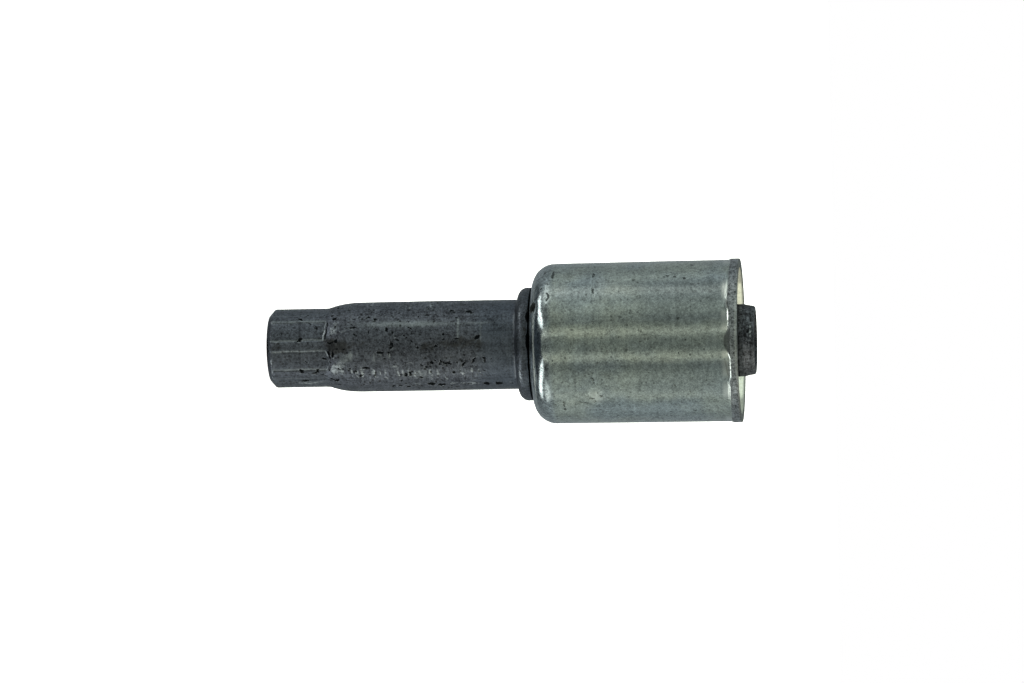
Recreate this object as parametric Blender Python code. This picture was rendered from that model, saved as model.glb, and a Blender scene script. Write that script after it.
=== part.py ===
"""Weld-on hose end: a formed steel tube (stem) with a reduced, jaw-swaged weld end,
a locking bead and a hose nipple, and a deep-drawn ferrule held captive on its neck.

Frame: metres, +Z along the tube axis, z = 0 at the weld end's face, hose end up.
Angles are counted from -Y towards +X.
"""
import bpy
import bmesh
import math
from mathutils import Matrix, Vector

MM = 0.001

# ---- stem, outside (mm) ----
TOTAL_LENGTH = 86.1
TUBE_R = 15.875 / 2          # 5/8 inch tube
PILOT_R = 6.97               # reduced end, over the ribs
PILOT_PRESS = 0.10           # jaw-pressed lands lie this far below the ribs
PILOT_FOOT_R = 5.85          # outer edge of the flat end face
CHAMFER_R = 6.75             # where the end's chamfer turns into its rounded corner
CHAMFER_H = 0.75
PILOT_CORNER_H = 1.25        # height of the chamfer and the corner together
JAW_END = 9.9                # top of the pressed lands
JAW_STEP = 0.35              # length of the small step above them
REDUCE_START = 10.6          # concave corner where the reduction starts
REDUCE_END = 16.5            # where the full tube diameter is reached
REDUCE_START_R = 7.0
REDUCE_POWER = 2.3
RIB_COUNT = 8
RIB_PHASE = -2.3             # centre of the first rib, degrees
RIB_HALF = 7.0               # half width of a rib's top, degrees
RIB_FOOT = 9.0               # half width at its foot, degrees

# ---- locking beads and neck (mm) ----
BEAD_START = 44.26
BEAD_END = 46.70
BEAD_R = 10.0
BEAD_CREST = 0.70
BEAD_FLANK = 1.65
INNER_BEAD_START = 48.75
INNER_BEAD_END = 50.65
INNER_BEAD_R = 9.30

# ---- nipple (mm) ----
CONE_START = 51.4
CONE_END = 54.6
NIPPLE_R = 12.75 / 2
GROOVE_FIRST = 59.0
GROOVE_PITCH = 6.6
GROOVE_COUNT = 4
GROOVE_WIDTH = 3.2
GROOVE_DEPTH = 0.42
TIP_TAPER_START = 84.2
TIP_TAPER_END = 85.35
TIP_TAPER_R = 6.10
TIP_FACE_R = 5.80

# ---- stem, inside (mm) ----
PILOT_BORE_R = 5.60
TUBE_BORE_R = 6.70
NIPPLE_BORE_R = 5.08
BORE_REDUCE_START = 10.4
BORE_REDUCE_END = 16.8
BORE_CONE_START = 51.0
BORE_CONE_END = 54.4

# ---- ferrule (mm) ----
FERRULE_REAR = 47.0
FERRULE_MOUTH = 83.57
FERRULE_REAR_R = 14.125
FERRULE_FRONT_R = 14.24
FERRULE_LIP_R = 14.44
FERRULE_LIP_H = 1.50
FERRULE_LIP_RISE = 0.55
FERRULE_WALL = 1.30
FERRULE_FLOOR = 1.40
FERRULE_SHOULDER = 3.90
FERRULE_HOLE_R = 8.26
SIGHT_HOLE_R = 0.90
SIGHT_HOLE_AT = 12.5         # distance of the sight holes from the axis
SIGHT_HOLE_ANGLES = (-30.5, 149.5)
SIGHT_HOLE_TILT = 40.0       # drilled square to the shoulder

FERRULE_SEGMENTS = 56


def clear_scene():
    for obj in list(bpy.data.objects):
        bpy.data.objects.remove(obj, do_unlink=True)


def metal(name, colour, roughness, metallic):
    mat = bpy.data.materials.new(name)
    mat.use_nodes = True
    bsdf = mat.node_tree.nodes["Principled BSDF"]
    bsdf.inputs["Base Color"].default_value = (*colour, 1.0)
    bsdf.inputs["Roughness"].default_value = roughness
    bsdf.inputs["Metallic"].default_value = metallic
    return mat


def arc(centre_r, centre_z, radius_r, radius_z, start, end, steps, skip_first=False):
    """Points (r, z) on an ellipse; 0 degrees points outwards, 90 degrees up."""
    points = []
    for i in range(steps + 1):
        if skip_first and i == 0:
            continue
        a = math.radians(start + (end - start) * i / steps)
        points.append((centre_r + radius_r * math.cos(a), centre_z + radius_z * math.sin(a)))
    return points


def stem_outline():
    """Closed outline of the stem's wall: up the outside, then down the bore."""
    pts = [(PILOT_FOOT_R, 0.0)]
    pts += [(CHAMFER_R, CHAMFER_H)]
    pts += [(CHAMFER_R + (PILOT_R - CHAMFER_R) * 0.72, CHAMFER_H + (PILOT_CORNER_H - CHAMFER_H) * 0.40),
            (PILOT_R, PILOT_CORNER_H)]
    pts += [(PILOT_R, JAW_END), (PILOT_R, JAW_END + JAW_STEP)]
    steps = 7
    for i in range(steps + 1):
        u = i / steps
        r = TUBE_R - (TUBE_R - REDUCE_START_R) * (1 - u) ** REDUCE_POWER
        pts.append((r, REDUCE_START + (REDUCE_END - REDUCE_START) * u))
    # outer bead: small root fillet, rounded flank, short crest, flat back
    fillet = 0.35
    flank_start = BEAD_START
    pts += [(TUBE_R, flank_start - fillet), (TUBE_R + 0.12, flank_start - 0.08)]
    crest_z = BEAD_START + BEAD_FLANK
    pts += arc(TUBE_R + 0.28, crest_z, BEAD_R - TUBE_R - 0.28, BEAD_FLANK - 0.08, -90, 0, 5)
    pts += arc(BEAD_R - 0.09, BEAD_END - 0.09, 0.09, 0.09, 0, 90, 1)
    pts += [(TUBE_R, BEAD_END)]
    # neck, inner bead
    pts += [(TUBE_R, INNER_BEAD_START)]
    pts += [(INNER_BEAD_R - 0.3, INNER_BEAD_START)]
    pts += arc(INNER_BEAD_R - 0.95, (INNER_BEAD_START + INNER_BEAD_END) / 2 + 0.1, 0.95,
               (INNER_BEAD_END - INNER_BEAD_START) / 2 - 0.1, -45, 90, 4)
    pts += [(TUBE_R, INNER_BEAD_END)]
    # step down to the nipple
    pts += [(TUBE_R, CONE_START), (NIPPLE_R, CONE_END)]
    # rolled grooves
    for k in range(GROOVE_COUNT):
        middle = GROOVE_FIRST + GROOVE_PITCH * k
        for i in range(5):
            u = -1 + 2 * i / 4
            depth = GROOVE_DEPTH * 0.5 * (1 + math.cos(math.pi * u))
            pts.append((NIPPLE_R - depth, middle + GROOVE_WIDTH / 2 * u))
    # tip
    pts += [(NIPPLE_R, TIP_TAPER_START), (TIP_TAPER_R, TIP_TAPER_END)]
    pts += arc(TIP_FACE_R, TIP_TAPER_END, TIP_TAPER_R - TIP_FACE_R,
               TOTAL_LENGTH - TIP_TAPER_END, 0, 90, 3, True)
    # bore, downwards
    pts += [(NIPPLE_BORE_R, TOTAL_LENGTH), (NIPPLE_BORE_R, BORE_CONE_END)]
    pts += [(TUBE_BORE_R, BORE_CONE_START)]
    for i in range(5):
        u = i / 4
        s = u * u * (3 - 2 * u)
        pts.append((TUBE_BORE_R + (PILOT_BORE_R - TUBE_BORE_R) * s,
                    BORE_REDUCE_END + (BORE_REDUCE_START - BORE_REDUCE_END) * u))
    pts += [(PILOT_BORE_R, 0.0)]
    return pts


def stem_angles():
    """Seven rays to each 45-degree sector, close together at the rib's edges."""
    pitch = 360 / RIB_COUNT
    gap = pitch - 2 * RIB_FOOT
    local = [-RIB_FOOT, -RIB_HALF, 0.0, RIB_HALF, RIB_FOOT, RIB_FOOT + gap / 3, RIB_FOOT + 2 * gap / 3]
    return [(RIB_PHASE + pitch * k + a) for k in range(RIB_COUNT) for a in local]


def pressed(angle, z, r):
    """Depth of the jaw-pressed land at this place on the reduced end."""
    if r < PILOT_FOOT_R + 0.05 or z > JAW_END + 0.01:
        return 0.0
    pitch = 360 / RIB_COUNT
    off = abs((angle - RIB_PHASE + pitch / 2) % pitch - pitch / 2)
    side = min(1.0, max(0.0, (off - RIB_HALF) / (RIB_FOOT - RIB_HALF)))
    return PILOT_PRESS * side * min(1.0, z / PILOT_CORNER_H + 0.2)


def lathe(name, outline, angles, relief=None):
    """Turn a closed outline of (r, z) points in mm about +Z."""
    bm = bmesh.new()
    rings = []
    for angle in angles:
        a = math.radians(angle)
        ring = []
        for r, z in outline:
            rr = r - (relief(angle, z, r) if relief else 0.0)
            ring.append(bm.verts.new((rr * MM * math.sin(a), -rr * MM * math.cos(a), z * MM)))
        rings.append(ring)
    n = len(outline)
    for k, ring in enumerate(rings):
        other = rings[(k + 1) % len(rings)]
        for i in range(n):
            j = (i + 1) % n
            bm.faces.new((ring[i], other[i], other[j], ring[j]))
    bmesh.ops.recalc_face_normals(bm, faces=bm.faces)
    mesh = bpy.data.meshes.new(name)
    bm.to_mesh(mesh)
    bm.free()
    mesh.shade_smooth()
    mesh.set_sharp_from_angle(angle=math.radians(30))
    obj = bpy.data.objects.new(name, mesh)
    bpy.context.scene.collection.objects.link(obj)
    return obj


def ferrule_outline():
    """Closed outline of the ferrule's wall: up the outside, then down the inside."""
    shoulder_r = FERRULE_REAR_R - FERRULE_SHOULDER
    shoulder_z = FERRULE_REAR + FERRULE_SHOULDER
    pts = [(FERRULE_HOLE_R, FERRULE_REAR + 0.0)]
    pts += arc(shoulder_r, shoulder_z, FERRULE_SHOULDER, FERRULE_SHOULDER, -90, 0, 9)
    lip_z = FERRULE_MOUTH - FERRULE_LIP_H
    pts += [(FERRULE_FRONT_R, lip_z - FERRULE_LIP_RISE),
            (FERRULE_LIP_R - 0.03, lip_z - 0.12), (FERRULE_LIP_R, lip_z),
            (FERRULE_LIP_R, FERRULE_MOUTH - 0.15), (FERRULE_LIP_R - 0.15, FERRULE_MOUTH)]
    inner_front = FERRULE_FRONT_R - FERRULE_WALL
    inner_rear = FERRULE_REAR_R - FERRULE_WALL
    pts += [(inner_front + 0.12, FERRULE_MOUTH), (inner_front, FERRULE_MOUTH - 0.15)]
    corner = FERRULE_SHOULDER - FERRULE_WALL
    pts += arc(inner_rear - corner, FERRULE_REAR + FERRULE_FLOOR + corner, corner, corner, 0, -90, 6)
    pts += [(FERRULE_HOLE_R, FERRULE_REAR + FERRULE_FLOOR)]
    return pts


def sight_hole_cutter(name, angle):
    """A drill laid square to the ferrule's shoulder."""
    reach = SIGHT_HOLE_AT - (FERRULE_REAR_R - FERRULE_SHOULDER)
    drop = math.sqrt(FERRULE_SHOULDER ** 2 - reach ** 2)
    z = FERRULE_REAR + FERRULE_SHOULDER - drop
    a = math.radians(angle)
    outward = Vector((math.sin(a), -math.cos(a), 0.0))
    t = math.radians(SIGHT_HOLE_TILT)
    axis = outward * math.sin(t) - Vector((0, 0, 1)) * math.cos(t)
    place = (outward * SIGHT_HOLE_AT + Vector((0, 0, z))) * MM
    bm = bmesh.new()
    bmesh.ops.create_cone(bm, cap_ends=True, segments=16, radius1=SIGHT_HOLE_R * MM,
                          radius2=SIGHT_HOLE_R * MM, depth=4.4 * MM)
    mesh = bpy.data.meshes.new(name)
    bm.to_mesh(mesh)
    bm.free()
    cutter = bpy.data.objects.new(name, mesh)
    bpy.context.scene.collection.objects.link(cutter)
    cutter.matrix_world = Matrix.Translation(place) @ axis.to_track_quat("Z", "Y").to_matrix().to_4x4()
    cutter.hide_render = True
    cutter.display_type = "WIRE"
    return cutter


def build():
    clear_scene()

    stem = lathe("stem", stem_outline(), stem_angles(), pressed)
    stem.data.materials.append(metal("oiled_tube_steel", (0.085, 0.095, 0.105), 0.42, 0.9))

    # The ferrule turns freely on the stem's neck, so its origin is on the tube axis.
    angles = [360 * k / FERRULE_SEGMENTS for k in range(FERRULE_SEGMENTS)]
    ferrule = lathe("ferrule", ferrule_outline(), angles)
    ferrule.data.materials.append(metal("zinc_plate", (0.40, 0.45, 0.40), 0.33, 1.0))
    ferrule.parent = stem
    for k, angle in enumerate(SIGHT_HOLE_ANGLES):
        cutter = sight_hole_cutter("sight_hole_cutter_%d" % (k + 1), angle)
        cut = ferrule.modifiers.new("sight_hole_%d" % (k + 1), "BOOLEAN")
        cut.object = cutter
        cut.operation = "DIFFERENCE"
        cut.solver = "EXACT"


build()
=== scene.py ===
"""Looks of the weld-on hose end: fine meshes of the formed tube and the drawn ferrule,
their finishes, a soft light tent, a pale floor and the camera.

Frame: metres, +Z along the tube axis, weld end at z = 0, hose end up.
Angles on the object are counted from -Y towards +X. Lengths in the profiles are in mm.
"""
import math

import bpy
import numpy as np
from mathutils import Matrix, Vector


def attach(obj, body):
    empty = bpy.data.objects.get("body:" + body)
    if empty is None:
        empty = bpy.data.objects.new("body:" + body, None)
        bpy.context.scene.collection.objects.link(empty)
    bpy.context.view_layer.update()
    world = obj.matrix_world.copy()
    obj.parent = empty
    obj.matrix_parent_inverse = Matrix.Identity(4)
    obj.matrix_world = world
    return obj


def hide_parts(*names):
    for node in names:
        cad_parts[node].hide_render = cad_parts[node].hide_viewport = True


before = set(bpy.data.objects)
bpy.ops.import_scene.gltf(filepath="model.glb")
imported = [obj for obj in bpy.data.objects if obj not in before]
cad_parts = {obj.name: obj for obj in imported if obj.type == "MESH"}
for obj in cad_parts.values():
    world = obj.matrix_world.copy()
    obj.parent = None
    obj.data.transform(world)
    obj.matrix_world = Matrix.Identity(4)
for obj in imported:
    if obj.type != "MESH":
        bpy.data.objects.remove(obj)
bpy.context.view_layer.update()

MM = 0.001
RNG = np.random.default_rng(20417)


# --------------------------------------------------------------------------- noise
def lattice(ix, iy, iz, seed):
    h = (ix * 374761393 + iy * 668265263 + iz * 1440662683 + seed * 1274126177) & 0xFFFFFFFF
    h = ((h ^ (h >> 13)) * 1274126177) & 0xFFFFFFFF
    h = h ^ (h >> 16)
    return (h & 0xFFFFFF) / float(0xFFFFFF)


def noise3(x, y, z, seed):
    """Smooth value noise in -1..1 on a unit lattice."""
    fx, fy, fz = np.floor(x), np.floor(y), np.floor(z)
    ix, iy, iz = fx.astype(np.int64), fy.astype(np.int64), fz.astype(np.int64)
    ux, uy, uz = x - fx, y - fy, z - fz
    ux, uy, uz = (u * u * (3 - 2 * u) for u in (ux, uy, uz))
    out = 0.0
    for a in (0, 1):
        for b in (0, 1):
            for c in (0, 1):
                w = (ux if a else 1 - ux) * (uy if b else 1 - uy) * (uz if c else 1 - uz)
                out = out + w * lattice(ix + a, iy + b, iz + c, seed)
    return out * 2 - 1


def fbm(x, y, z, seed, octaves=3):
    total, amp, norm = 0.0, 1.0, 0.0
    for k in range(octaves):
        f = 2.03 ** k
        total = total + amp * noise3(x * f + 17.3 * k, y * f - 9.1 * k, z * f + 4.7 * k, seed + k)
        norm += amp
        amp *= 0.5
    return total / norm


def smooth(a, b, x):
    t = np.clip((x - a) / (b - a), 0.0, 1.0)
    return t * t * (3 - 2 * t)


def wrap(deg):
    return (deg + 180.0) % 360.0 - 180.0


# --------------------------------------------------------------------------- profiles
def run(a, b, step):
    """Points from a to b, b left out, at about this spacing."""
    n = max(1, int(round(math.dist(a, b) / step)))
    return [(a[0] + (b[0] - a[0]) * i / n, a[1] + (b[1] - a[1]) * i / n) for i in range(n)]


def arc(cr, cz, rr, rz, start, end, steps):
    """Points of an ellipse, the last one left out; 0 degrees points outwards, 90 up."""
    out = []
    for i in range(steps):
        t = math.radians(start + (end - start) * i / steps)
        out.append((cr + rr * math.cos(t), cz + rz * math.sin(t)))
    return out


def bend(a, b, c, steps):
    """Points from a to c, c left out, drawn towards b."""
    out = []
    for i in range(steps):
        u = i / steps
        out.append(tuple((1 - u) ** 2 * a[k] + 2 * u * (1 - u) * b[k] + u * u * c[k] for k in (0, 1)))
    return out


TUBE_R = 15.875 / 2
PILOT_R = 6.97
LAND_R = 6.87
FOOT_R = 5.85
CHAMFER = (6.75, 0.75)
CORNER_H = 1.25
REDUCE = (10.6, 16.5)
RIB_PHASE = -2.3
TURNED_AT = (15.25, 17.1, 19.35, 22.05, 24.8, 26.4, 29.3, 34.24, 38.25, 40.6, 42.2, 42.9, 43.4)
LAND_ENDS = (11.12, 10.95, 11.1, 10.85, 11.15, 10.9, 11.05, 10.42)   # from rib 0 towards +X


def reduction(z):
    u = (z - REDUCE[0]) / (REDUCE[1] - REDUCE[0])
    return TUBE_R - (TUBE_R - 7.0) * (1 - u) ** 2.3


def stem_profile():
    p = []
    p += run((5.60, 0.0), (FOOT_R, 0.0), 0.2)
    p += run((FOOT_R, 0.0), CHAMFER, 0.2)
    p += bend(CHAMFER, (PILOT_R, 0.95), (PILOT_R, CORNER_H), 7)
    p += run((PILOT_R, CORNER_H), (PILOT_R, 9.6), 0.3)
    p += run((PILOT_R, 9.6), (7.0, REDUCE[0]), 0.14)
    z = REDUCE[0]
    while z < REDUCE[1] - 0.01:
        p.append((reduction(z), z))
        z += 0.12 if z < 12.0 else 0.26
    p += run((TUBE_R, REDUCE[1]), (TUBE_R, 43.6), 0.235)
    for z in TURNED_AT:
        j = min(range(len(p)), key=lambda i: abs(p[i][1] - z))
        p[j] = (TUBE_R if z > REDUCE[1] else reduction(z), z)
    # bead: root fillet, rounded flank, short crest, flat back
    p += run((TUBE_R, 43.6), (TUBE_R + 0.01, 44.10), 0.12)
    p += [(TUBE_R + 0.01, 44.10), (TUBE_R + 0.045, 44.19), (TUBE_R + 0.11, 44.255), (TUBE_R + 0.20, 44.295)]
    p += arc(TUBE_R + 0.30, 45.91, 10.0 - TUBE_R - 0.30, 1.60, -86, 0, 16)
    p += run((10.0, 45.91), (10.0, 46.45), 0.14)
    p += arc(9.80, 46.45, 0.20, 0.25, 0, 90, 4)
    p += run((9.80, 46.70), (TUBE_R, 46.70), 0.45)
    # neck and second bead, inside the ferrule
    p += run((TUBE_R, 46.70), (TUBE_R, 48.75), 0.5)
    p += run((TUBE_R, 48.75), (8.6, 48.75), 0.4)
    p += arc(8.35, 49.80, 0.95, 1.0, -75, 90, 7)
    p += run((8.35, 50.80), (TUBE_R, 50.80), 0.3)
    p += run((TUBE_R, 50.80), (TUBE_R, 51.3), 0.3)
    p += run((TUBE_R, 51.3), (6.375, 54.6), 0.9)
    p += run((6.375, 54.6), (6.375, 57.4), 0.7)
    for k in range(4):
        mid = 59.0 + 6.6 * k
        for i in range(7):
            u = -1 + 2 * i / 6
            p.append((6.375 - 0.21 * (1 + math.cos(math.pi * u)), mid + 1.6 * u))
        if k < 3:
            p += run((6.375, mid + 1.6), (6.375, mid + 5.0), 1.2)[1:]
    p += run((6.375, 80.4), (6.375, 82.6), 0.6)[1:]
    # tip
    p += run((6.375, 82.6), (6.38, 84.15), 0.16)
    p += run((6.38, 84.15), (6.12, 85.3), 0.13)
    p += arc(5.78, 85.3, 0.34, 0.80, 0, 90, 9)
    p += run((5.78, 86.1), (5.20, 86.1), 0.12)
    p += arc(5.20, 85.98, 0.12, 0.12, 90, 180, 3)
    outer_count = len(p)
    # bore, downwards
    p += run((5.08, 85.98), (5.08, 83.0), 0.5)
    p += run((5.08, 83.0), (5.08, 65.0), 3.0)
    p += run((5.08, 65.0), (5.08, 54.4), 5.3)
    p += run((5.08, 54.4), (6.70, 51.0), 0.8)
    p += run((6.70, 51.0), (6.70, 16.8), 6.8)
    for i in range(6):
        u = i / 6
        s = u * u * (3 - 2 * u)
        p.append((6.70 - 1.10 * s, 16.8 - 6.4 * u))
    p += run((5.60, 10.4), (5.60, 0.0), 2.0)
    return np.array(p), outer_count


def ferrule_profile():
    p = []
    rear, mouth, shoulder = 47.0, 83.57, 3.90
    r0, r1 = 14.125, 14.24
    p += run((8.26, rear), (r0 - shoulder, rear), 0.3)
    p += arc(r0 - shoulder, rear + shoulder, shoulder, shoulder, -90, -58, 9)
    p += arc(r0 - shoulder, rear + shoulder, shoulder, shoulder, -58, -42, 16)
    p += arc(r0 - shoulder, rear + shoulder, shoulder, shoulder, -42, 0, 15)
    lip_z = mouth - 1.50
    z0, z1 = rear + shoulder, lip_z - 1.30
    n = 122
    for i in range(n):
        u = i / n
        p.append((r0 + (r1 - r0) * u, z0 + (z1 - z0) * u))
    # concave rise up to the lip, then the lip's own band
    for i in range(14):
        u = 1.24 * i / 14
        v = max(0.0, u - 0.79) / 0.45
        p.append((r1 + 0.055 * (u / 1.24) ** 2 + 0.115 * v ** 2.1, z1 + u))
    p += [(r1 + 0.172, lip_z - 0.055), (r1 + 0.190, lip_z - 0.015), (r1 + 0.198, lip_z + 0.05)]
    p += run((r1 + 0.20, lip_z + 0.12), (r1 + 0.20, mouth - 0.12), 0.18)
    p += arc(r1 + 0.08, mouth - 0.12, 0.12, 0.12, 0, 90, 5)
    p += run((r1 + 0.08, mouth), (13.06, mouth), 0.3)
    p += arc(13.06, mouth - 0.12, 0.12, 0.12, 90, 180, 5)
    outer_count = len(p)
    p += run((12.94, mouth - 0.12), (12.90, mouth - 6.0), 0.35)
    p += run((12.90, mouth - 6.0), (12.825, 51.0), 1.6)
    p += arc(10.225, 51.0, 2.60, 2.60, 0, -90, 10)
    p += run((10.225, 48.4), (8.26, 48.4), 0.5)
    p += run((8.26, 48.4), (8.26, rear), 0.3)
    return np.array(p), outer_count


# --------------------------------------------------------------------------- turned meshes
def grid_of(profile, angles):
    """R, Z, PHI arrays (ray, point) and the outline's normals."""
    nxt, prv = np.roll(profile, -1, axis=0), np.roll(profile, 1, axis=0)
    t = nxt - prv
    t /= np.maximum(np.linalg.norm(t, axis=1, keepdims=True), 1e-9)
    normal = np.stack([t[:, 1], -t[:, 0]], axis=1)
    R = np.repeat(profile[None, :, 0], len(angles), axis=0)
    Z = np.repeat(profile[None, :, 1], len(angles), axis=0)
    PHI = np.repeat(angles[:, None], len(profile), axis=1)
    return R, Z, PHI, normal


def turned(name, R, Z, PHI):
    """A closed mesh from the (ray, point) grid."""
    k, n = R.shape
    a = np.radians(PHI)
    co = np.stack([R * np.sin(a), -R * np.cos(a), Z], axis=2).reshape(-1, 3) * MM
    i, j = np.meshgrid(np.arange(k), np.arange(n), indexing="ij")
    i2, j2 = (i + 1) % k, (j + 1) % n
    quads = np.stack([i * n + j, i2 * n + j, i2 * n + j2, i * n + j2], axis=2).reshape(-1, 4)
    mesh = bpy.data.meshes.new(name)
    mesh.vertices.add(len(co))
    mesh.vertices.foreach_set("co", co.astype(np.float32).ravel())
    mesh.loops.add(quads.size)
    mesh.loops.foreach_set("vertex_index", quads.astype(np.int32).ravel())
    mesh.polygons.add(len(quads))
    mesh.polygons.foreach_set("loop_start", np.arange(0, quads.size, 4, dtype=np.int32))
    mesh.update(calc_edges=True)
    mesh.validate()
    mesh.shade_smooth()
    obj = bpy.data.objects.new(name, mesh)
    bpy.context.scene.collection.objects.link(obj)
    return obj


def paint(obj, name, *channels):
    """Stores up to three 0..1 fields on the points as one colour attribute."""
    n = len(obj.data.vertices)
    data = np.zeros((n, 4), np.float32)
    data[:, 3] = 1
    for c, field in enumerate(channels):
        data[:, c] = np.clip(field, 0, 1).ravel()
    layer = obj.data.attributes.new(name, "FLOAT_COLOR", "POINT")
    layer.data.foreach_set("color", data.ravel())


def dab(wall, z0, phi0, half_z, half_t, turn=0.0, hard=1.0):
    """A soft uneven patch on the wall, 1 in its middle: half sizes in mm, turn in degrees."""
    dz = wall["z"] + wall["wz"] - z0
    dt = np.radians(wrap(wall["phi"] - phi0)) * wall["r"] + wall["wt"]
    c, s = math.cos(math.radians(turn)), math.sin(math.radians(turn))
    u = (dz * c + dt * s) / half_z
    v = (-dz * s + dt * c) / half_t
    return np.exp(-((u * u + v * v) ** hard))


def wall_of(R, Z, PHI, X, Y, amount):
    """The surface's own coordinates, with a small wobble that makes the patches uneven."""
    return {"r": R, "z": Z, "phi": PHI,
            "wz": amount * noise3(X * 2.1, Y * 2.1, Z * 2.1, 81),
            "wt": amount * noise3(X * 2.1, Y * 2.1, Z * 2.1, 82)}


# --------------------------------------------------------------------------- stem
def rib_angles():
    out = []
    for k in range(8):
        fine = k in (0, 1, 7)
        edge = 0.5 if fine else 1.0
        local = list(np.arange(-9.5, -5.5, edge)) + list(np.linspace(-5.5, 5.5, 9 if fine else 4, endpoint=False))
        local += list(np.arange(5.5, 9.5, edge)) + list(np.linspace(9.5, 35.5, 22 if fine else 14, endpoint=False))
        out += [RIB_PHASE + 45 * k + a for a in local]
    return np.array(out)


def make_stem():
    profile, outer = stem_profile()
    angles = rib_angles()
    R, Z, PHI, normal = grid_of(profile, angles)
    is_outer = (np.arange(R.shape[1]) < outer)[None, :]
    X, Y = R * np.sin(np.radians(PHI)), -R * np.cos(np.radians(PHI))
    push = np.zeros_like(R)
    pit_and_shade = np.zeros_like(R)
    lite = np.zeros_like(R)
    tone = np.zeros_like(R)
    stain = np.zeros_like(R)
    soft = np.zeros_like(R)
    dusk = np.zeros_like(R)
    wall = wall_of(R, Z, PHI, X, Y, 0.16)

    # --- jaw-pressed lands between the ribs of the weld end
    off = (PHI - RIB_PHASE + 22.5) % 45 - 22.5
    sector = np.floor((PHI - RIB_PHASE) / 45).astype(int) % 8
    land = smooth(6.1, 8.1, np.abs(off + 0.35 * noise3(Z * 0.35, PHI * 0.0, sector * 1.7, 5)))
    ends = np.array(LAND_ENDS)[sector]
    wavy = ends + 0.08 * noise3(X * 0.9, Y * 0.9, Z * 0, 11) + 0.05 * noise3(X * 2.2, Y * 2.2, Z * 0, 12)
    wavy = wavy + np.where(sector == 7, -0.013 * (wrap(PHI) + 26), 0) - np.where(sector == 0, 0.0014 * (wrap(PHI) - 20) ** 2, 0)
    in_land = land * (1 - smooth(wavy - 0.10, wavy + 0.16, Z)) * smooth(0.1, 0.9, Z)
    target = np.minimum(R, LAND_R + 0.25 * np.clip(Z - 10.9, 0, 1) ** 2)
    weld = is_outer & (Z < 13) & (R > FOOT_R + 0.02)
    push += np.where(weld, -(R - target) * in_land, 0)
    # the burr that the jaws leave at the end of each land, and along the ribs' edges, with a painted highlight on its
    # side towards the weld end and painted shade past it
    burr = land * np.exp(-((Z - wavy - 0.12) / 0.17) ** 2)
    edge = np.exp(-((np.abs(off) - 6.0) / 0.55) ** 2) * (Z > 1.0) * (1 - smooth(10.2, 11.0, Z))
    crisp = np.where(sector % 4 == 0, 1.0, np.where(sector % 4 == 3, 0.9, 0.35))
    broken = np.clip(0.88 + 0.5 * noise3(X * 0.9, Y * 0.9, Z * 0, 25), 0.3, 1.1)
    push += np.where(weld, (0.055 * crisp + 0.01) * burr + 0.014 * edge, 0)
    lite += np.where(weld, 1.15 * crisp * broken * np.exp(-((Z - wavy + 0.02) / 0.17) ** 2) * land, 0)
    pit_and_shade += np.where(weld, 0.95 * crisp * broken * np.exp(-((Z - wavy - 0.36) / 0.17) ** 2) * land, 0)
    # painted highlights along the ribs' edges, with painted shade beside them
    sway = off + 0.9 * noise3(X * 0.0 + sector * 3.1, Z * 0.55, off * 0, 22) + 0.35 * noise3(sector * 1.3, Z * 2.4, off * 0, 28)
    breakup = 0.80 + 0.75 * noise3(X * 1.2, Y * 1.2, Z * 1.1, 21)
    back = np.abs(wrap(PHI)) > 70
    rib_line = np.exp(-((np.abs(sway) - 7.3) / 1.15) ** 2) * smooth(1.0, 1.5, Z) * (1 - smooth(10.3, 11.2, Z)) * back
    lite += np.where(weld, 0.80 * rib_line * np.clip(breakup, 0.1, 1.15), 0)
    for a0, slope, gain, half in ((-10.9, -0.11, 1.00, 1.45), (5.3, -0.10, 1.00, 1.40), (33.8, -0.05, 0.90, 1.50),
                                  (-42.2, 0.03, 0.72, 2.60), (51.0, 0.0, 0.50, 1.30), (-55.0, 0.0, 0.45, 1.40), (60.5, 0.0, 0.36, 1.40)):
        path = wrap(PHI - a0) - slope * (Z - 1) + 0.75 * noise3(X * 0, Z * 0.60, Z * 0 + a0, 30) + 0.45 * noise3(X * 0, Z * 2.2, Z * 0 + a0, 32)
        ends = smooth(0.7, 1.2, Z) * (1 - smooth(10.1, 11.0, Z))
        line = np.exp(-(path / half) ** 2) * ends
        soft += np.where(weld, 0.82 * gain * line * np.clip(0.92 + 0.35 * noise3(X * 1.1, Y * 1.1, Z * 0.9, 27), 0.4, 1.1), 0)
        lite += np.where(weld, 0.30 * gain * line * np.clip(breakup, 0.05, 1.1), 0)
        shade = np.exp(-((path - math.copysign(half + 0.75, a0)) / 0.9) ** 2) * ends
        dusk += np.where(weld, 0.50 * gain * shade * np.clip(0.9 + 0.7 * noise3(X * 1.1, Y * 1.1, Z * 1.3, 29), 0.2, 1.4), 0)
    # thin dark lines across two of the lands
    for z0, a0, a1, amount in ((6.02, -41.5, -13.5, 0.92), (6.05, 7.0, 31.0, 0.38)):
        mid, half = (a0 + a1) / 2, (a1 - a0) / 2
        around = 1 - smooth(half * 0.9, half * 1.05, np.abs(wrap(PHI - mid)))
        bow = 0.06 * noise3(X * 0.6, Y * 0.6, Z * 0, 26)
        dusk += np.where(weld, amount * around * np.exp(-((Z - z0 - bow) / 0.13) ** 2), 0)
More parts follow.
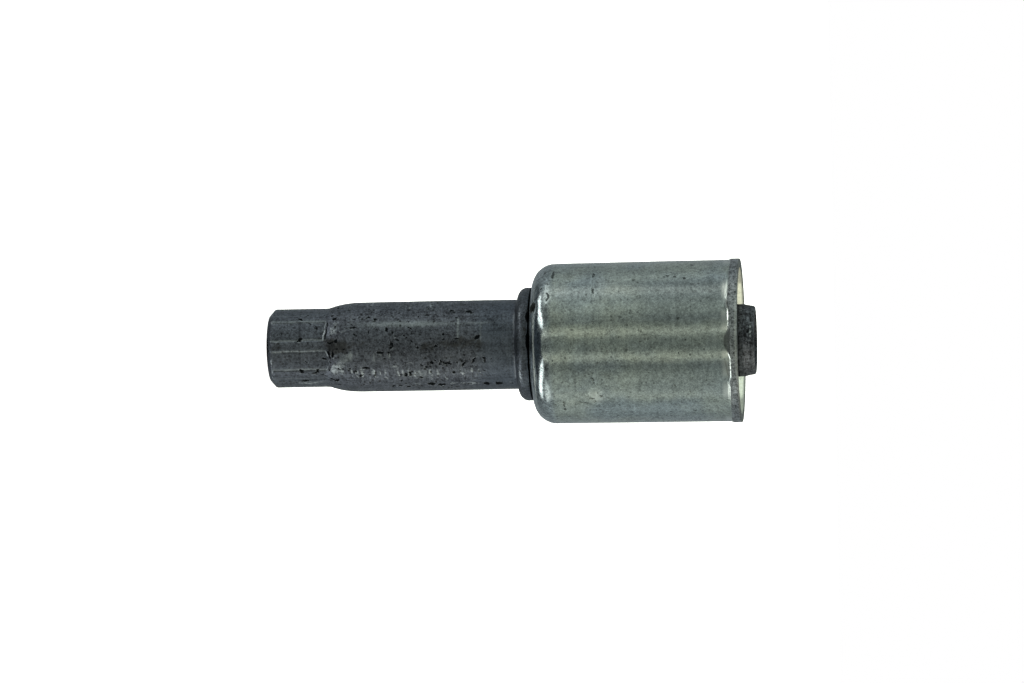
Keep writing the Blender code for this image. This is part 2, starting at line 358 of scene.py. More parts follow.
    # the chamfer is dark, with light dashes where it meets the cylinder
    foot = 1 - smooth(0.06, 0.42, Z + 0.18 * noise3(X, Y, Z, 23))
    pit_and_shade += np.where(is_outer & (Z < 1.4), foot * (0.30 + 0.55 * np.exp(-(wrap(PHI + 2) / 24) ** 2)), 0)
    dash = np.exp(-((Z - 0.78) / 0.20) ** 2) * np.clip(0.20 + 1.3 * noise3(X * 0.9, Y * 0.9, Z, 24), 0, 1)
    for a0, half, gain in ((20.0, 7.0, 1.0), (38.0, 4.5, 1.0), (-43.0, 4.0, 1.0), (3.0, 10.0, 0.6)):
        dash = np.maximum(dash, gain * np.exp(-((Z - 0.80) / 0.20) ** 2) * np.exp(-(wrap(PHI - a0) / half) ** 2))
    lite += np.where(is_outer & (Z < 2), 0.8 * dash, 0)

    # --- faint waviness of the drawn tube, and the rounding of its long run
    tube = is_outer & (Z > 11) & (Z < 44.2)
    push += np.where(tube, 0.016 * fbm(X * 0.28, Y * 0.28, Z * 0.20, 31, 3), 0)
    push += np.where(tube, 0.035 * np.sin(np.pi * np.clip((Z - 15) / 29, 0, 1)) - 0.02, 0) * smooth(11, 17, Z)
    push += np.where(is_outer & (Z > 1) & (Z < 11), 0.008 * fbm(X * 0.5, Y * 0.5, Z * 0.5, 33, 2), 0)

    # --- lines turned round the tube by the tooling
    for z0, depth, light, a0, a1 in (
            (15.25, 0.020, 0.95, 3, 19), (15.20, 0.012, 0.30, -52, -30),
            (19.35, 0.018, 0.80, 9, 20), (19.35, 0.016, 0.40, -42, -24),
            (22.05, 0.010, 0.45, 8, 16), (16.4, 0.010, 0.30, 4, 16),
            (34.24, 0.018, 1.70, -38, -7), (34.24, 0.012, 0.30, 150, 215),
            (38.25, 0.012, 0.48, -32, 2), (26.4, 0.010, 0.35, 90, 160),
            # the three lines at the bead's root carry a painted highlight
            (44.02, 0.006, 0.75, -45, -17), (44.06, 0.006, 0.70, 12, 50), (44.04, 0.006, 0.60, 120, 290),
            (42.9, 0.004, 0.16, -40, 40), (43.4, 0.004, 0.20, -30, 55), (42.2, 0.004, 0.14, -50, 10),
            (29.3, 0.012, 0.40, 200, 262), (40.6, 0.008, 0.25, 60, 120),
            (17.1, 0.014, 0.45, 110, 150), (24.8, 0.010, 0.35, -110, -70)):
        mid, half = (a0 + a1) / 2, (a1 - a0) / 2
        around = 1 - smooth(half * 0.8, half * 1.05, np.abs(wrap(PHI - mid)))
        line = around * np.exp(-((Z - z0) / 0.14) ** 2)
        push += np.where(tube & (Z < 43.9), -depth * line, 0)
        soft += np.where(tube, 0.85 * light * line * (0.85 + 0.35 * noise3(X * 1.2, Y * 1.2, Z, 41)), 0)
        lite += np.where(tube, 0.35 * light * line * (0.7 + 0.4 * noise3(X * 1.5, Y * 1.5, Z, 41)), 0)

    # --- nicks and pits: (z, angle, half length, half width, turn, depth, darkness)
    marks = STEM_NICKS + random_nicks()
    for z0, a0, hz, ht, turn, depth, dark in marks:
        w = dab(wall, z0, a0, hz, ht, turn, 1.2)
        push += np.where(is_outer, -depth * w, 0)
        pit_and_shade += np.where(is_outer, dark * w, 0)
        rim = dab(wall, z0 + 0.05, a0 + 1.0, hz * 1.6, ht * 1.7, turn, 1.5) - w
        lite += np.where(is_outer, 0.28 * np.clip(rim, 0, 1) * min(1.0, dark), 0)
    # --- bright rubbed places, and painted highlights on the bead
    for z0, a0, hz, ht, turn, light in STEM_RUBS_AND_HIGHLIGHTS + random_rubs():
        w = dab(wall, z0, a0, hz, ht, turn, 1.0)
        lite += np.where(is_outer, 1.15 * light * w, 0)
    for z0, a0, hz, ht, turn, light in STEM_SOFT:
        soft += np.where(is_outer, light * dab(wall, z0, a0, hz, ht, turn, 1.0), 0)

    # --- painted shade at the back of the bead beside the ferrule, at the nipple's foot in the mouth and in the bore; a painted highlight and painted shade on the nipple's end, and a painted highlight along the bead's flank
    wide = np.maximum(np.exp(-(wrap(PHI + 29) / 5) ** 4), 0.75 * np.exp(-(wrap(PHI + 3) / 8) ** 4))
    start = 46.60 - 0.34 * wide + 0.04 * noise3(X * 0.8, Y * 0.8, Z * 0, 45)
    pit_and_shade += np.where(is_outer, 1.3 * smooth(start, start + 0.14, Z) * (1 - smooth(46.75, 46.8, Z)), 0)
    pit_and_shade += np.where(is_outer, 1.4 * smooth(82.7, 83.0, Z) * (1 - smooth(83.28, 83.42, Z + 0.05 * noise3(X, Y, Z, 46))), 0)
    pit_and_shade += np.where(is_outer, 0.0, 1.3 * smooth(66.0, 76.0, Z)) * (0.20 + 0.80 * np.exp(-(wrap(PHI + 30) / 38) ** 4))
    lite += np.where(is_outer, 0.52 * np.exp(-((Z - 85.45) / 0.17) ** 2) * np.exp(-(wrap(PHI + 16) / 15) ** 2), 0)
    dusk += np.where(is_outer, 0.95 * smooth(85.60, 85.84, Z) * np.exp(-(wrap(PHI + 4) / 36) ** 2), 0)
    lite += np.where(is_outer & (Z < 46), 0.34 * np.exp(-((Z - 45.25) / 0.16) ** 2) * np.clip(0.55 + 0.9 * noise3(X * 0.5, Y * 0.5, Z * 0, 47), 0, 1), 0)
    # --- uneven tone with painted shade round -34 degrees and painted light from 2 to 75 degrees, large dark smears and the calmer stretch by the bead
    tone += 0.5 + 0.40 * fbm(X * 0.16, Y * 0.16, Z * 0.10, 61, 3)
    tone -= 0.46 * np.exp(-(wrap(PHI + 34) / 18) ** 2)
    tone += 0.25 * smooth(2, 30, wrap(PHI)) * (1 - smooth(75, 95, wrap(PHI))) - 0.03
    for z0, a0, hz, ht, amount in STEM_STAINS:
        stain += np.where(is_outer, amount * dab(wall, z0, a0, hz, ht, 0, 1.3), 0)
    tone = np.where(is_outer, tone, 0.35)
    calm = 0.85 * smooth(34.0, 41.5, Z + 3.4 * noise3(X * 0.25, Y * 0.25, Z * 0.2, 71)) * (1 - smooth(43.7, 44.2, Z))
    calm = np.maximum(calm, 0.45 * smooth(43.7, 44.2, Z) * (1 - smooth(50, 51, Z)))
    calm = np.maximum(calm, 0.24 * (1 - smooth(10.5, 12.0, Z)))
    rows = np.zeros_like(R)
    for a0, half in ((38.0, 15.0), (118.0, 16.0), (205.0, 18.0), (292.0, 16.0)):
        rows = np.maximum(rows, np.exp(-np.abs(wrap(PHI - a0) / half) ** 3))
    rows = rows * smooth(13.0, 14.5, Z) * (1 - smooth(36.0, 39.0, Z))

    R2 = R + push * normal[None, :, 0]
    Z2 = Z + push * normal[None, :, 1]
    Z2 = np.maximum(Z2, 0.0)
    obj = turned("stem_tube", R2, Z2, PHI)
    paint(obj, "marks", pit_and_shade, lite, tone)
    tip = smooth(76.0, 79.0, Z)
    bead = smooth(43.9, 44.4, Z) * (1 - smooth(50, 51, Z))
    inside = np.where(is_outer, 0.0, 1.0) * np.ones_like(R)
    paint(obj, "zones", np.where(is_outer, calm, 0.5) * np.ones_like(R), np.maximum(tip, inside), bead)
    paint(obj, "stains", stain, np.where(is_outer, rows, 0), np.maximum(tip, inside * 0))
    paint(obj, "lines", soft, dusk, inside)
    return obj


# dark oily stains: (z, angle, half length, half width, amount)
STEM_STAINS = [
    (12.3, -3.0, 1.7, 1.0, 0.85), (11.2, -10.0, 0.9, 0.5, 0.5), (13.6, 4.0, 1.0, 0.7, 0.45), (15.8, -3.0, 2.4, 0.8, 0.40),
    (19.6, -6.0, 2.2, 0.9, 0.08), (22.6, 1.0, 2.4, 0.7, 0.16),
    (28.7, 2.0, 1.6, 0.9, 0.52), (31.8, -1.0, 2.6, 0.9, 0.42), (34.6, -2.5, 1.9, 1.0, 0.48), (37.6, -3.0, 1.6, 1.0, 0.46),
    (38.6, 1.5, 3.2, 0.7, 0.15), (35.2, -9.0, 1.6, 0.5, 0.30), (38.6, -9.5, 1.2, 0.5, 0.30),
    (13.3, -1.0, 1.3, 1.1, 0.62), (1.9, -3.0, 0.9, 0.7, 0.55), (5.5, 0.0, 5.0, 0.45, 0.20), (19.0, 24.0, 2.6, 0.45, 0.06), (23.0, -17.0, 3.0, 0.5, 0.08),
    (24.8, 38.0, 0.9, 0.6, 0.30), (12.0, 3.0, 0.9, 1.4, 0.45),
    (46.2, -8.0, 0.30, 2.0, 0.45), (44.85, -6.0, 0.25, 2.2, 0.35),
    (24.0, -62.0, 3.0, 0.5, 0.20), (15.0, -58.0, 3.4, 0.6, 0.20), (9.0, -64.0, 4.0, 0.5, 0.25),
    (24.0, 165.0, 9.0, 1.2, 0.40), (33.0, 128.0, 6.0, 1.0, 0.35), (18.0, 210.0, 6.0, 1.1, 0.35), (38.0, 240.0, 4.0, 0.9, 0.30),
    (12.6, 88.0, 1.2, 1.2, 0.55), (12.3, 178.0, 1.4, 1.2, 0.6), (12.4, 268.0, 1.2, 1.1, 0.55),
]

STEM_NICKS = [
    # on the pressed end
    (5.90, -47.5, 0.34, 0.26, 25, 0.07, 1.2), (6.15, -45.0, 0.20, 0.30, -35, 0.05, 1.0),
    (6.18, -13.2, 0.16, 0.52, 38, 0.08, 1.5), (5.95, -10.5, 0.36, 0.20, -20, 0.07, 1.2),
    (8.95, -30.6, 0.26, 0.24, 0, 0.06, 1.1),
    (2.80, -21.7, 0.26, 0.26, 0, 0.04, 0.7),
    (10.30, 16.5, 0.52, 0.15, 10, 0.07, 1.2),
    (6.30, 37.0, 0.28, 0.30, 30, 0.07, 1.2), (6.00, 34.5, 0.30, 0.16, 20, 0.05, 0.9),
    (8.95, 36.4, 0.17, 0.42, 40, 0.08, 1.4), (8.45, 40.0, 0.50, 0.18, -30, 0.06, 1.0),
    (6.40, 58.0, 0.85, 0.30, 3, 0.06, 0.9), (5.0, 62.0, 0.40, 0.22, 0, 0.05, 0.8),
    (10.0, 44.0, 0.80, 0.14, 18, 0.05, 0.9), (11.6, 50.0, 0.80, 0.16, 12, 0.05, 0.9),
    (12.6, 60.0, 0.70, 0.20, 6, 0.05, 0.8),
    # on the reduction
    (12.22, -42.5, 0.28, 0.34, -30, 0.08, 1.3), (11.62, -49.4, 0.26, 0.24, 0, 0.06, 1.0),
    (12.5, -67.0, 0.30, 0.30, 0, 0.06, 0.9), (13.1, 30.0, 0.30, 0.14, 35, 0.06, 1.1),
    (12.6, -9.0, 0.30, 0.40, 10, 0.06, 1.0), (11.6, -6.5, 0.60, 0.16, 0, 0.05, 0.9),
    (13.9, 3.5, 0.30, 0.20, 0, 0.05, 0.9), (12.0, 9.0, 0.22, 0.60, 0, 0.06, 1.0),
    (14.3, -19.0, 0.20, 0.18, 0, 0.04, 0.6),
    # on the tube, upper part
    (15.22, -25.2, 0.22, 0.18, 0, 0.05, 0.8), (15.7, -38.7, 0.42, 0.16, 0, 0.05, 0.8),
    (16.5, -41.5, 0.30, 0.14, 0, 0.05, 0.7),
    (18.35, -41.8, 0.30, 0.22, 15, 0.06, 1.0), (19.60, -38.1, 0.30, 0.28, 0, 0.07, 1.2),
    (21.62, -21.9, 0.26, 0.46, -25, 0.09, 1.3), (22.55, -17.8, 0.24, 0.24, 0, 0.06, 1.1),
    (22.62, -2.4, 0.22, 0.42, -28, 0.10, 1.4), (22.3, 1.2, 0.30, 0.18, 0, 0.06, 1.1),
    (23.17, -13.7, 0.24, 0.22, 0, 0.06, 1.0), (24.65, -14.4, 0.22, 0.28, 0, 0.06, 1.0), (25.1, -11.0, 0.20, 0.20, 0, 0.05, 0.8),
    (28.66, -42.9, 0.60, 0.22, 10, 0.05, 0.8), (31.64, -42.3, 0.40, 0.18, 0, 0.05, 0.8),
    (32.91, -50.4, 0.34, 0.30, -20, 0.06, 1.0), (34.05, -37.5, 0.55, 0.15, 0, 0.06, 1.0),
    (35.86, -48.6, 0.62, 0.24, 8, 0.06, 1.1), (36.3, -45.8, 0.40, 0.14, 0, 0.05, 0.8),
    (34.0, -9.3, 0.55, 0.15, 0, 0.06, 0.9), (37.75, -10.8, 0.36, 0.30, 0, 0.09, 1.4), (37.5, -8.0, 0.30, 0.20, 0, 0.06, 1.0),
    (40.95, -18.6, 0.18, 0.18, 0, 0.04, 0.8), (33.5, -46.0, 0.34, 0.14, 0, 0.04, 0.7),
    (26.9, -2.0, 0.40, 0.16, 0, 0.04, 0.7), (30.3, 1.0, 0.46, 0.16, 6, 0.05, 0.8), (29.0, 8.0, 0.60, 0.14, -6, 0.05, 0.9),
    # on the tube, lower part
    (20.55, 7.6, 0.62, 0.16, -4, 0.08, 1.2), (20.1, 5.8, 0.18, 0.22, 0, 0.06, 1.0), (21.98, 7.5, 0.13, 0.50, 0, 0.06, 1.0),
    (17.85, 27.6, 0.62, 0.20, 3, 0.08, 1.2), (14.94, 29.0, 0.24, 0.18, 0, 0.06, 0.7), (16.3, 31.0, 0.26, 0.14, 0, 0.05, 0.5),
    (29.51, 22.0, 0.34, 0.24, 0, 0.08, 1.3), (30.09, 18.2, 0.18, 0.30, -25, 0.06, 1.1),
    (31.23, 19.2, 0.18, 0.42, 0, 0.08, 1.2), (32.34, 22.9, 0.50, 0.20, 0, 0.08, 1.2), (31.6, 21.6, 0.18, 0.20, 0, 0.05, 0.9),
    (35.20, 24.0, 0.17, 0.62, 38, 0.07, 1.9), (34.80, 19.4, 0.16, 0.30, 0, 0.05, 1.1),
    (36.93, 19.6, 0.15, 0.56, 36, 0.05, 1.5), (38.84, 17.0, 0.26, 0.24, 20, 0.07, 1.15), (38.81, 21.5, 0.22, 0.28, 0, 0.06, 1.15),
    (40.06, 17.0, 0.16, 0.20, 0, 0.04, 0.6), (28.52, 27.9, 0.24, 0.24, 0, 0.07, 1.1), (24.76, 38.5, 0.40, 0.42, 20, 0.07, 1.0),
    (25.6, 36.0, 0.16, 0.46, 0, 0.06, 1.0), (33.2, 36.0, 0.36, 0.26, 0, 0.05, 0.8), (27.4, 44.0, 0.50, 0.22, 0, 0.05, 0.8),
    # dashes pressed in a row low on the side
    (29.10, 57.4, 0.50, 0.35, 3, 0.08, 2.8), (31.00, 59.6, 0.62, 0.27, 3, 0.08, 1.6),
    (38.85, 58.8, 0.46, 0.37, 6, 0.08, 2.8), (40.95, 58.9, 0.54, 0.35, -3, 0.08, 2.8),
    (22.38, 61.5, 0.36, 0.26, 0, 0.08, 1.2), (23.46, 61.0, 0.32, 0.26, 0, 0.08, 1.2), (24.92, 63.5, 0.32, 0.28, 0, 0.08, 1.2),
    (27.2, 60.5, 0.30, 0.20, 0, 0.06, 0.8), (35.7, 58.8, 0.34, 0.20, 0, 0.05, 0.8), (43.3, 59.5, 0.40, 0.20, 0, 0.05, 0.8),
    # nipple tip
    (85.0, -14.0, 0.16, 0.3, 0, 0.03, 0.9), (84.9, 5.0, 0.14, 0.6, 0, 0.03, 0.8),
]

STEM_RUBS_AND_HIGHLIGHTS = [
    # bright worn patch at the foot of the reduction
    (14.1, 17.0, 0.90, 0.50, -25, 0.48), (13.0, 25.0, 0.80, 0.70, -30, 0.85), (12.2, 34.5, 0.65, 0.70, 0, 0.95), (15.1, 11.5, 0.70, 0.30, -30, 0.40),
    (13.5, 34.0, 0.40, 0.50, 0, 0.55), (12.0, 14.0, 0.24, 0.50, 0, 0.30), (14.6, 28.0, 0.20, 0.70, 0, 0.45), (11.9, 27.0, 0.22, 0.60, 20, 0.60),
    (12.2, -27.0, 0.70, 0.80, -10, 0.42), (12.6, -34.0, 0.45, 0.50, 0, 0.42), (13.2, -20.0, 1.10, 0.18, -4, 0.38), (11.7, -21.0, 0.26, 0.60, 0, 0.40),
    # long soft streak on the upper part
    (24.4, -30.0, 5.2, 0.55, 0, 0.10), (26.2, -27.6, 1.6, 0.24, 1, 0.16), (38.4, -29.6, 1.8, 0.12, 0, 0.20),
    (8.6, 64.0, 1.1, 0.40, 0, 0.45), (6.6, 65.5, 1.2, 0.36, 0, 0.80),
    # light dashes in the row low on the side
    (33.01, 56.7, 0.56, 0.26, 0, 1.0), (34.76, 57.1, 0.50, 0.24, 0, 0.85), (36.65, 57.5, 0.82, 0.26, 0, 1.0), (43.13, 57.4, 0.42, 0.22, 0, 0.6),
    (26.6, 57.0, 0.60, 0.22, 0, 0.5), (19.6, 60.0, 0.60, 0.20, 0, 0.4),
    # the wide worn patch above it
    (27.7, 38.0, 1.8, 0.9, 0, 0.12), (29.4, 37.5, 0.16, 0.8, 0, 0.30), (26.4, 38.0, 0.16, 1.0, 5, 0.32),
    (27.3, 39.5, 0.15, 0.9, -5, 0.26), (28.3, 37.0, 0.15, 1.0, 0, 0.26), (25.6, 37.5, 0.14, 0.7, 4, 0.24),
    # upright dashes
    (15.15, 34.0, 0.15, 1.2, 0, 0.62), (16.2, 34.5, 0.15, 0.9, 8, 0.58), (17.05, 35.0, 0.16, 1.2, -10, 0.80),
    (18.75, 35.0, 0.22, 0.40, 0, 0.55), (19.25, 35.6, 0.17, 1.1, -14, 0.85), (20.3, 36.0, 0.15, 0.8, -8, 0.52),
    (21.15, 35.0, 0.16, 1.0, 10, 0.56), (21.4, 45.0, 0.18, 0.5, -30, 0.40), (23.35, 34.5, 0.16, 1.4, -6, 0.64),
    (25.3, 34.0, 0.16, 1.2, -6, 0.52), (24.3, 35.5, 0.15, 0.8, 0, 0.36), (32.0, 34.5, 0.16, 0.9, 0, 0.34), (34.5, 35.0, 0.16, 0.9, 4, 0.36),
    (35.4, 34.0, 0.16, 0.9, 0, 0.34), (36.5, 35.0, 0.16, 0.9, 0, 0.34), (30.4, 35.5, 0.16, 0.8, 0, 0.30), (33.3, 33.5, 0.20, 0.30, 0, 0.24),
    (20.6, 10.5, 0.50, 0.16, 0, 0.35), (22.2, 11.0, 0.14, 0.50, 0, 0.42), (31.5, 16.0, 0.30, 0.30, 0, 0.30), (37.0, 14.0, 1.6, 0.30, 0, 0.28),
    # painted highlights on the bead's flank
    (45.1, -32.0, 0.20, 1.1, 0, 0.24), (45.1, 31.0, 0.20, 1.5, 0, 0.38), (44.9, 12.0, 0.16, 0.8, 0, 0.30),
]

# soft light places that stay whole: (z, angle, half length, half width, turn, light)
STEM_SOFT = [
    (14.1, 15.5, 1.0, 0.85, 0, 0.50), (15.1, 11.0, 0.45, 0.40, 0, 0.52), (24.6, -29.6, 6.2, 0.56, 0, 0.72),
    (20.6, -30.8, 2.6, 0.40, 0, 0.12), (29.2, -28.6, 3.0, 0.36, 1, 0.40),
    (33.4, -29.0, 2.4, 0.22, 1, 0.26), (38.4, -29.6, 1.9, 0.14, 0, 0.42), (36.6, -29.3, 1.2, 0.14, 0, 0.30),
    (27.7, 38.5, 2.0, 1.00, 0, 0.42), (23.3, 34.5, 0.20, 1.3, -6, 0.22), (25.3, 34.0, 0.20, 1.1, -6, 0.18),
    (34.8, 35.0, 2.4, 0.60, 0, 0.12), (32.4, 15.0, 1.6, 0.40, 0, 0.12), (20.0, 15.0, 1.6, 0.8, 0, 0.10),
    (13.9, 19.0, 1.1, 0.60, -35, 0.20),
    (12.2, 34.0, 0.60, 0.60, 0, 0.25),
]


def random_nicks():
    """Small nicks over the whole stem, fewer by the bead."""
    out = []
    for _ in range(150):
        z = RNG.uniform(1.5, 43.0)
        if z > 34 and RNG.random() < 0.65:
            continue
        a = RNG.uniform(0, 360)
        long_way = RNG.random() < 0.5
        big, small = RNG.uniform(0.18, 0.42), RNG.uniform(0.11, 0.20)
        hz, ht = (big, small) if long_way else (small, big)
        out.append((z, a, hz, ht, RNG.uniform(-35, 35), RNG.uniform(0.02, 0.07), RNG.uniform(0.5, 1.2)))
    return out


def random_rubs():
    """Short light marks across the tube in two broad rows, and a few long streaks."""
    out = []
    for centre, spread, count in ((40.0, 9.0, 34), (205.0, 9.0, 48), (118.0, 10.0, 40), (292.0, 9.0, 36)):
        for _ in range(count):
            z = RNG.uniform(13.5, 38.5)
            out.append((z, centre + RNG.uniform(-spread, spread), RNG.uniform(0.13, 0.20),
                        RNG.uniform(0.30, 0.85), RNG.uniform(-12, 12), RNG.uniform(0.16, 0.44)))
    for _ in range(26):
        out.append((RNG.uniform(3, 40), RNG.uniform(0, 360), RNG.uniform(0.8, 2.4),
                    RNG.uniform(0.08, 0.18), RNG.uniform(-4, 4), RNG.uniform(0.15, 0.40)))
    return out


# --------------------------------------------------------------------------- ferrule
FERRULE_NICKS = [
    # upright marks: (z, angle, half length, half width, turn, depth, darkness)
    (51.20, -57.0, 0.17, 1.00, 0, 0.05, 0.85), (51.25, -48.0, 0.15, 0.50, 0, 0.04, 0.60), (58.35, -41.5, 0.18, 0.90, 0, 0.05, 0.85),
    (53.20, -55.0, 0.14, 0.60, 0, 0.03, 0.40), (56.10, -59.0, 0.20, 0.30, 20, 0.03, 0.60),
    (51.15, -60.0, 0.20, 1.10, 0, 0.05, 0.75), (51.05, -56.0, 0.18, 0.60, 0, 0.05, 0.85),
    (58.30, -57.0, 0.20, 0.90, 4, 0.05, 0.95), (58.40, -37.5, 0.19, 0.90, -4, 0.05, 0.80), (58.35, -48.0, 0.17, 0.60, 0, 0.04, 0.65),
    (58.40, -30.0, 0.16, 0.50, 0, 0.03, 0.55), (58.50, -14.0, 0.15, 0.50, 0, 0.03, 0.35),
    (50.55, -37.0, 0.18, 0.80, -14, 0.06, 1.15), (50.45, -33.0, 0.18, 0.40, 20, 0.05, 1.0),
    (49.30, -44.0, 0.22, 0.35, 0, 0.05, 0.8), (49.6, -62.0, 0.18, 0.60, 4, 0.04, 0.8),
    (58.35, 28.0, 0.19, 0.90, 0, 0.05, 0.85), (58.30, 22.0, 0.16, 0.50, 0, 0.04, 0.6),
    (52.90, 48.0, 0.19, 0.80, 3, 0.05, 0.90), (53.00, 54.0, 0.18, 0.60, -3, 0.05, 0.85), (52.7, 30.0, 0.16, 1.2, 0, 0.03, 0.45),
    (55.60, -20.0, 0.15, 1.0, 0, 0.02, 0.30), (53.3, 14.0, 0.16, 0.9, 0, 0.03, 0.40),
    # a thin slanting scratch and the scuffed place beside it
    (56.20, 47.0, 2.10, 0.16, 14, 0.03, 0.60), (57.80, 43.5, 0.50, 0.22, 0, 0.05, 0.90), (58.40, 46.5, 0.22, 0.34, 0, 0.05, 1.0),
    (59.60, 41.0, 0.30, 0.20, 30, 0.04, 0.9), (58.90, 38.5, 0.18, 0.26, 0, 0.04, 0.8),
    # dark dashes and specks further forward
    (65.40, -49.8, 0.34, 0.26, 0, 0.05, 0.90), (66.3, -47.0, 0.26, 0.20, 0, 0.04, 0.70),
    (71.30, -54.0, 0.55, 0.18, 14, 0.05, 1.0), (72.65, -52.6, 0.34, 0.24, -20, 0.05, 1.0), (74.30, -50.5, 0.30, 0.30, 20, 0.05, 1.0),
    (75.40, -69.6, 0.26, 0.60, 0, 0.04, 0.8), (73.42, -16.3, 0.24, 0.24, 0, 0.04, 0.9), (73.34, 8.2, 0.24, 0.26, 0, 0.04, 0.9),
    (74.48, -0.8, 0.24, 0.22, 0, 0.04, 0.8), (75.7, 58.0, 0.20, 0.40, 25, 0.04, 0.9), (68.0, 22.0, 0.22, 0.20, 0, 0.03, 0.7),
    (75.2, 38.0, 0.22, 0.22, 0, 0.04, 0.8), (72.4, 32.0, 0.22, 0.22, 0, 0.04, 0.8), (77.3, -29.0, 0.20, 0.22, 0, 0.04, 0.8),
    (79.2, 46.0, 0.22, 0.24, 0, 0.04, 0.7), (64.6, -12.0, 0.30, 0.22, 0, 0.04, 0.7), (69.1, -60.5, 0.24, 0.26, 0, 0.04, 0.7),
]


def make_ferrule():
    profile, outer = ferrule_profile()
    angles = np.arange(0, 360, 1.0)
    R, Z, PHI, normal = grid_of(profile, angles)
    is_outer = (np.arange(R.shape[1]) < outer)[None, :]
    X, Y = R * np.sin(np.radians(PHI)), -R * np.cos(np.radians(PHI))
    push = np.zeros_like(R)
    pit_and_shade = np.zeros_like(R)
    lite = np.zeros_like(R)
    shell = is_outer & (Z < 80.7)
    wall = wall_of(R, Z, PHI, X, Y, 0.12)
    # faint ironing waves left by the deep draw, and the uneven rear shoulder
    push += np.where(shell, 0.020 * fbm(X * 0.16, Y * 0.16, Z * 0.11, 131, 2), 0)
    push += np.where(shell, 0.0045 * fbm(X * 0.55, Y * 0.55, Z * 0.45, 132, 2), 0)
    push += np.where(is_outer & (Z < 51.5), 0.030 * fbm(X * 0.35, Y * 0.35, Z * 0.5, 133, 2), 0) * smooth(47.1, 48.2, Z)
    nicks = list(FERRULE_NICKS)
    for _ in range(96):
        big, small = RNG.uniform(0.18, 0.40), RNG.uniform(0.12, 0.18)
        hz, ht = (big, small) if RNG.random() < 0.35 else (small, big)
        nicks.append((RNG.uniform(50.0, 80.5), RNG.uniform(0, 360), hz, ht, RNG.uniform(-20, 20),
                      RNG.uniform(0.01, 0.035), RNG.uniform(0.25, 0.62)))
    # short upright marks round the wall, where the tool chattered
    for z0 in (51.1, 58.35, 52.8):
        for _ in range(16):
            a0 = RNG.uniform(70, 290)
            nicks.append((z0 + RNG.uniform(-0.1, 0.1), a0, RNG.uniform(0.15, 0.20), RNG.uniform(0.4, 1.0), 0, 0.04, RNG.uniform(0.4, 0.9)))
    nicks.append((48.10, -26.3, 0.10, 0.32, 0, 0.01, 1.3))
    for z0, a0, hz, ht, turn, depth, dark in nicks:
        w = dab(wall, z0, a0, hz, ht, turn, 1.2)
        push += np.where(shell, -0.35 * depth * w, 0)
        pit_and_shade += np.where(shell, dark * w, 0)
    rubs = [(47.10, -26.5, 0.11, 0.85, 0, 1.0), (47.22, -27.0, 0.12, 0.40, 0, 0.6), (58.6, 42.0, 1.3, 1.1, 8, 0.40), (56.8, 52.0, 1.6, 0.5, 8, 0.20), (50.4, 40.0, 0.45, 0.9, 0, 0.25),
            (59.5, -49.0, 0.9, 1.2, 0, 0.22), (53.0, -38.0, 1.0, 1.6, 0, 0.16), (62.5, -44.0, 1.6, 1.6, 0, 0.12)]
    for _ in range(60):
        rubs.append((RNG.uniform(50, 80), RNG.uniform(0, 360), RNG.uniform(0.15, 0.7),
                     RNG.uniform(0.2, 0.9), RNG.uniform(-15, 15), RNG.uniform(0.10, 0.28)))
    for z0, a0, hz, ht, turn, light in rubs:
        lite += np.where(shell, light * dab(wall, z0, a0, hz, ht, turn, 1.0), 0)
    scuff_and_ridge_highlight = np.maximum(0.5 * dab(wall, 58.6, 42.0, 1.6, 2.0, 0, 1.0), 0.3 * dab(wall, 54.0, 48.0, 2.2, 1.6, 0, 1.0))
    # a fine turned ridge round the rear shoulder, with a painted highlight along it
    by_hole = 1 - 0.85 * np.exp(-(wrap(PHI + 28) / 7.5) ** 4)
    ridge = np.exp(-((Z - 47.95) / 0.10) ** 2) * (R > 11.5) * (R < 13.6) * is_outer * by_hole
    push += 0.030 * ridge * np.clip(0.85 + 0.5 * noise3(X * 0.35, Y * 0.35, Z * 0, 144), 0.3, 1.2)
    ridge_highlight = np.exp(-((Z - 47.97) / 0.13) ** 2) * (R > 11.5) * (R < 13.6) * is_outer * by_hole
    ridge_highlight = ridge_highlight * (1 - 0.55 * smooth(28, 44, np.abs(wrap(PHI))))
    lite += 0.95 * ridge_highlight
    # painted highlights in short stretches along the fillet under the lip, painted shade between them
    here = wrap(PHI)
    wear_and_highlight = np.zeros_like(R)
    for a0, half in ((-39.0, 8.0), (-16.0, 5.4), (9.5, 2.8), (-9.5, 2.4), (19.5, 6.6), (38.0, 7.2)):
        wear_and_highlight = np.maximum(wear_and_highlight, np.exp(-np.abs(wrap(PHI - a0) / half) ** 4))
    for a0, half in ((75, 6), (98, 9), (131, 7), (160, 10), (197, 8), (226, 6), (251, 10), (283, 7)):
        wear_and_highlight = np.maximum(wear_and_highlight, np.exp(-np.abs(wrap(PHI - a0) / half) ** 4))
    # below the middle a crease leaves the lip's edge
    edge_z = 82.03
    crease = np.interp(here, (13, 15.4, 24.3, 29, 34), (81.15, 81.29, 81.53, 81.88, 82.06))
    creased = smooth(13, 16, here) * (1 - smooth(32, 35, here))
    fillet = smooth(80.6, 81.15, Z) * (1 - smooth(81.95, 82.05, Z)) * is_outer
    lite += 0.95 * fillet * wear_and_highlight
    # the painted shade widens towards the middle
    half_tall = np.clip(1.02 - 0.0105 * (here - 0.5) ** 2, 0, 1)
    middle_shade = smooth(82.2 - half_tall - 0.15, 82.2 - half_tall + 0.1, Z) * (half_tall > 0.12) * (Z < 82.3) * is_outer
    # the lip's edges are a little uneven
    lip = is_outer & (Z > 81.2)
    push += np.where(lip, 0.010 * noise3(X * 0.5, Y * 0.5, Z * 0.8, 141), 0)
    tone = 0.5 + 0.32 * fbm(X * 0.13, Y * 0.13, Z * 0.09, 151, 3)
    R2 = R + push * normal[None, :, 0]
    Z2 = Z + push * normal[None, :, 1]
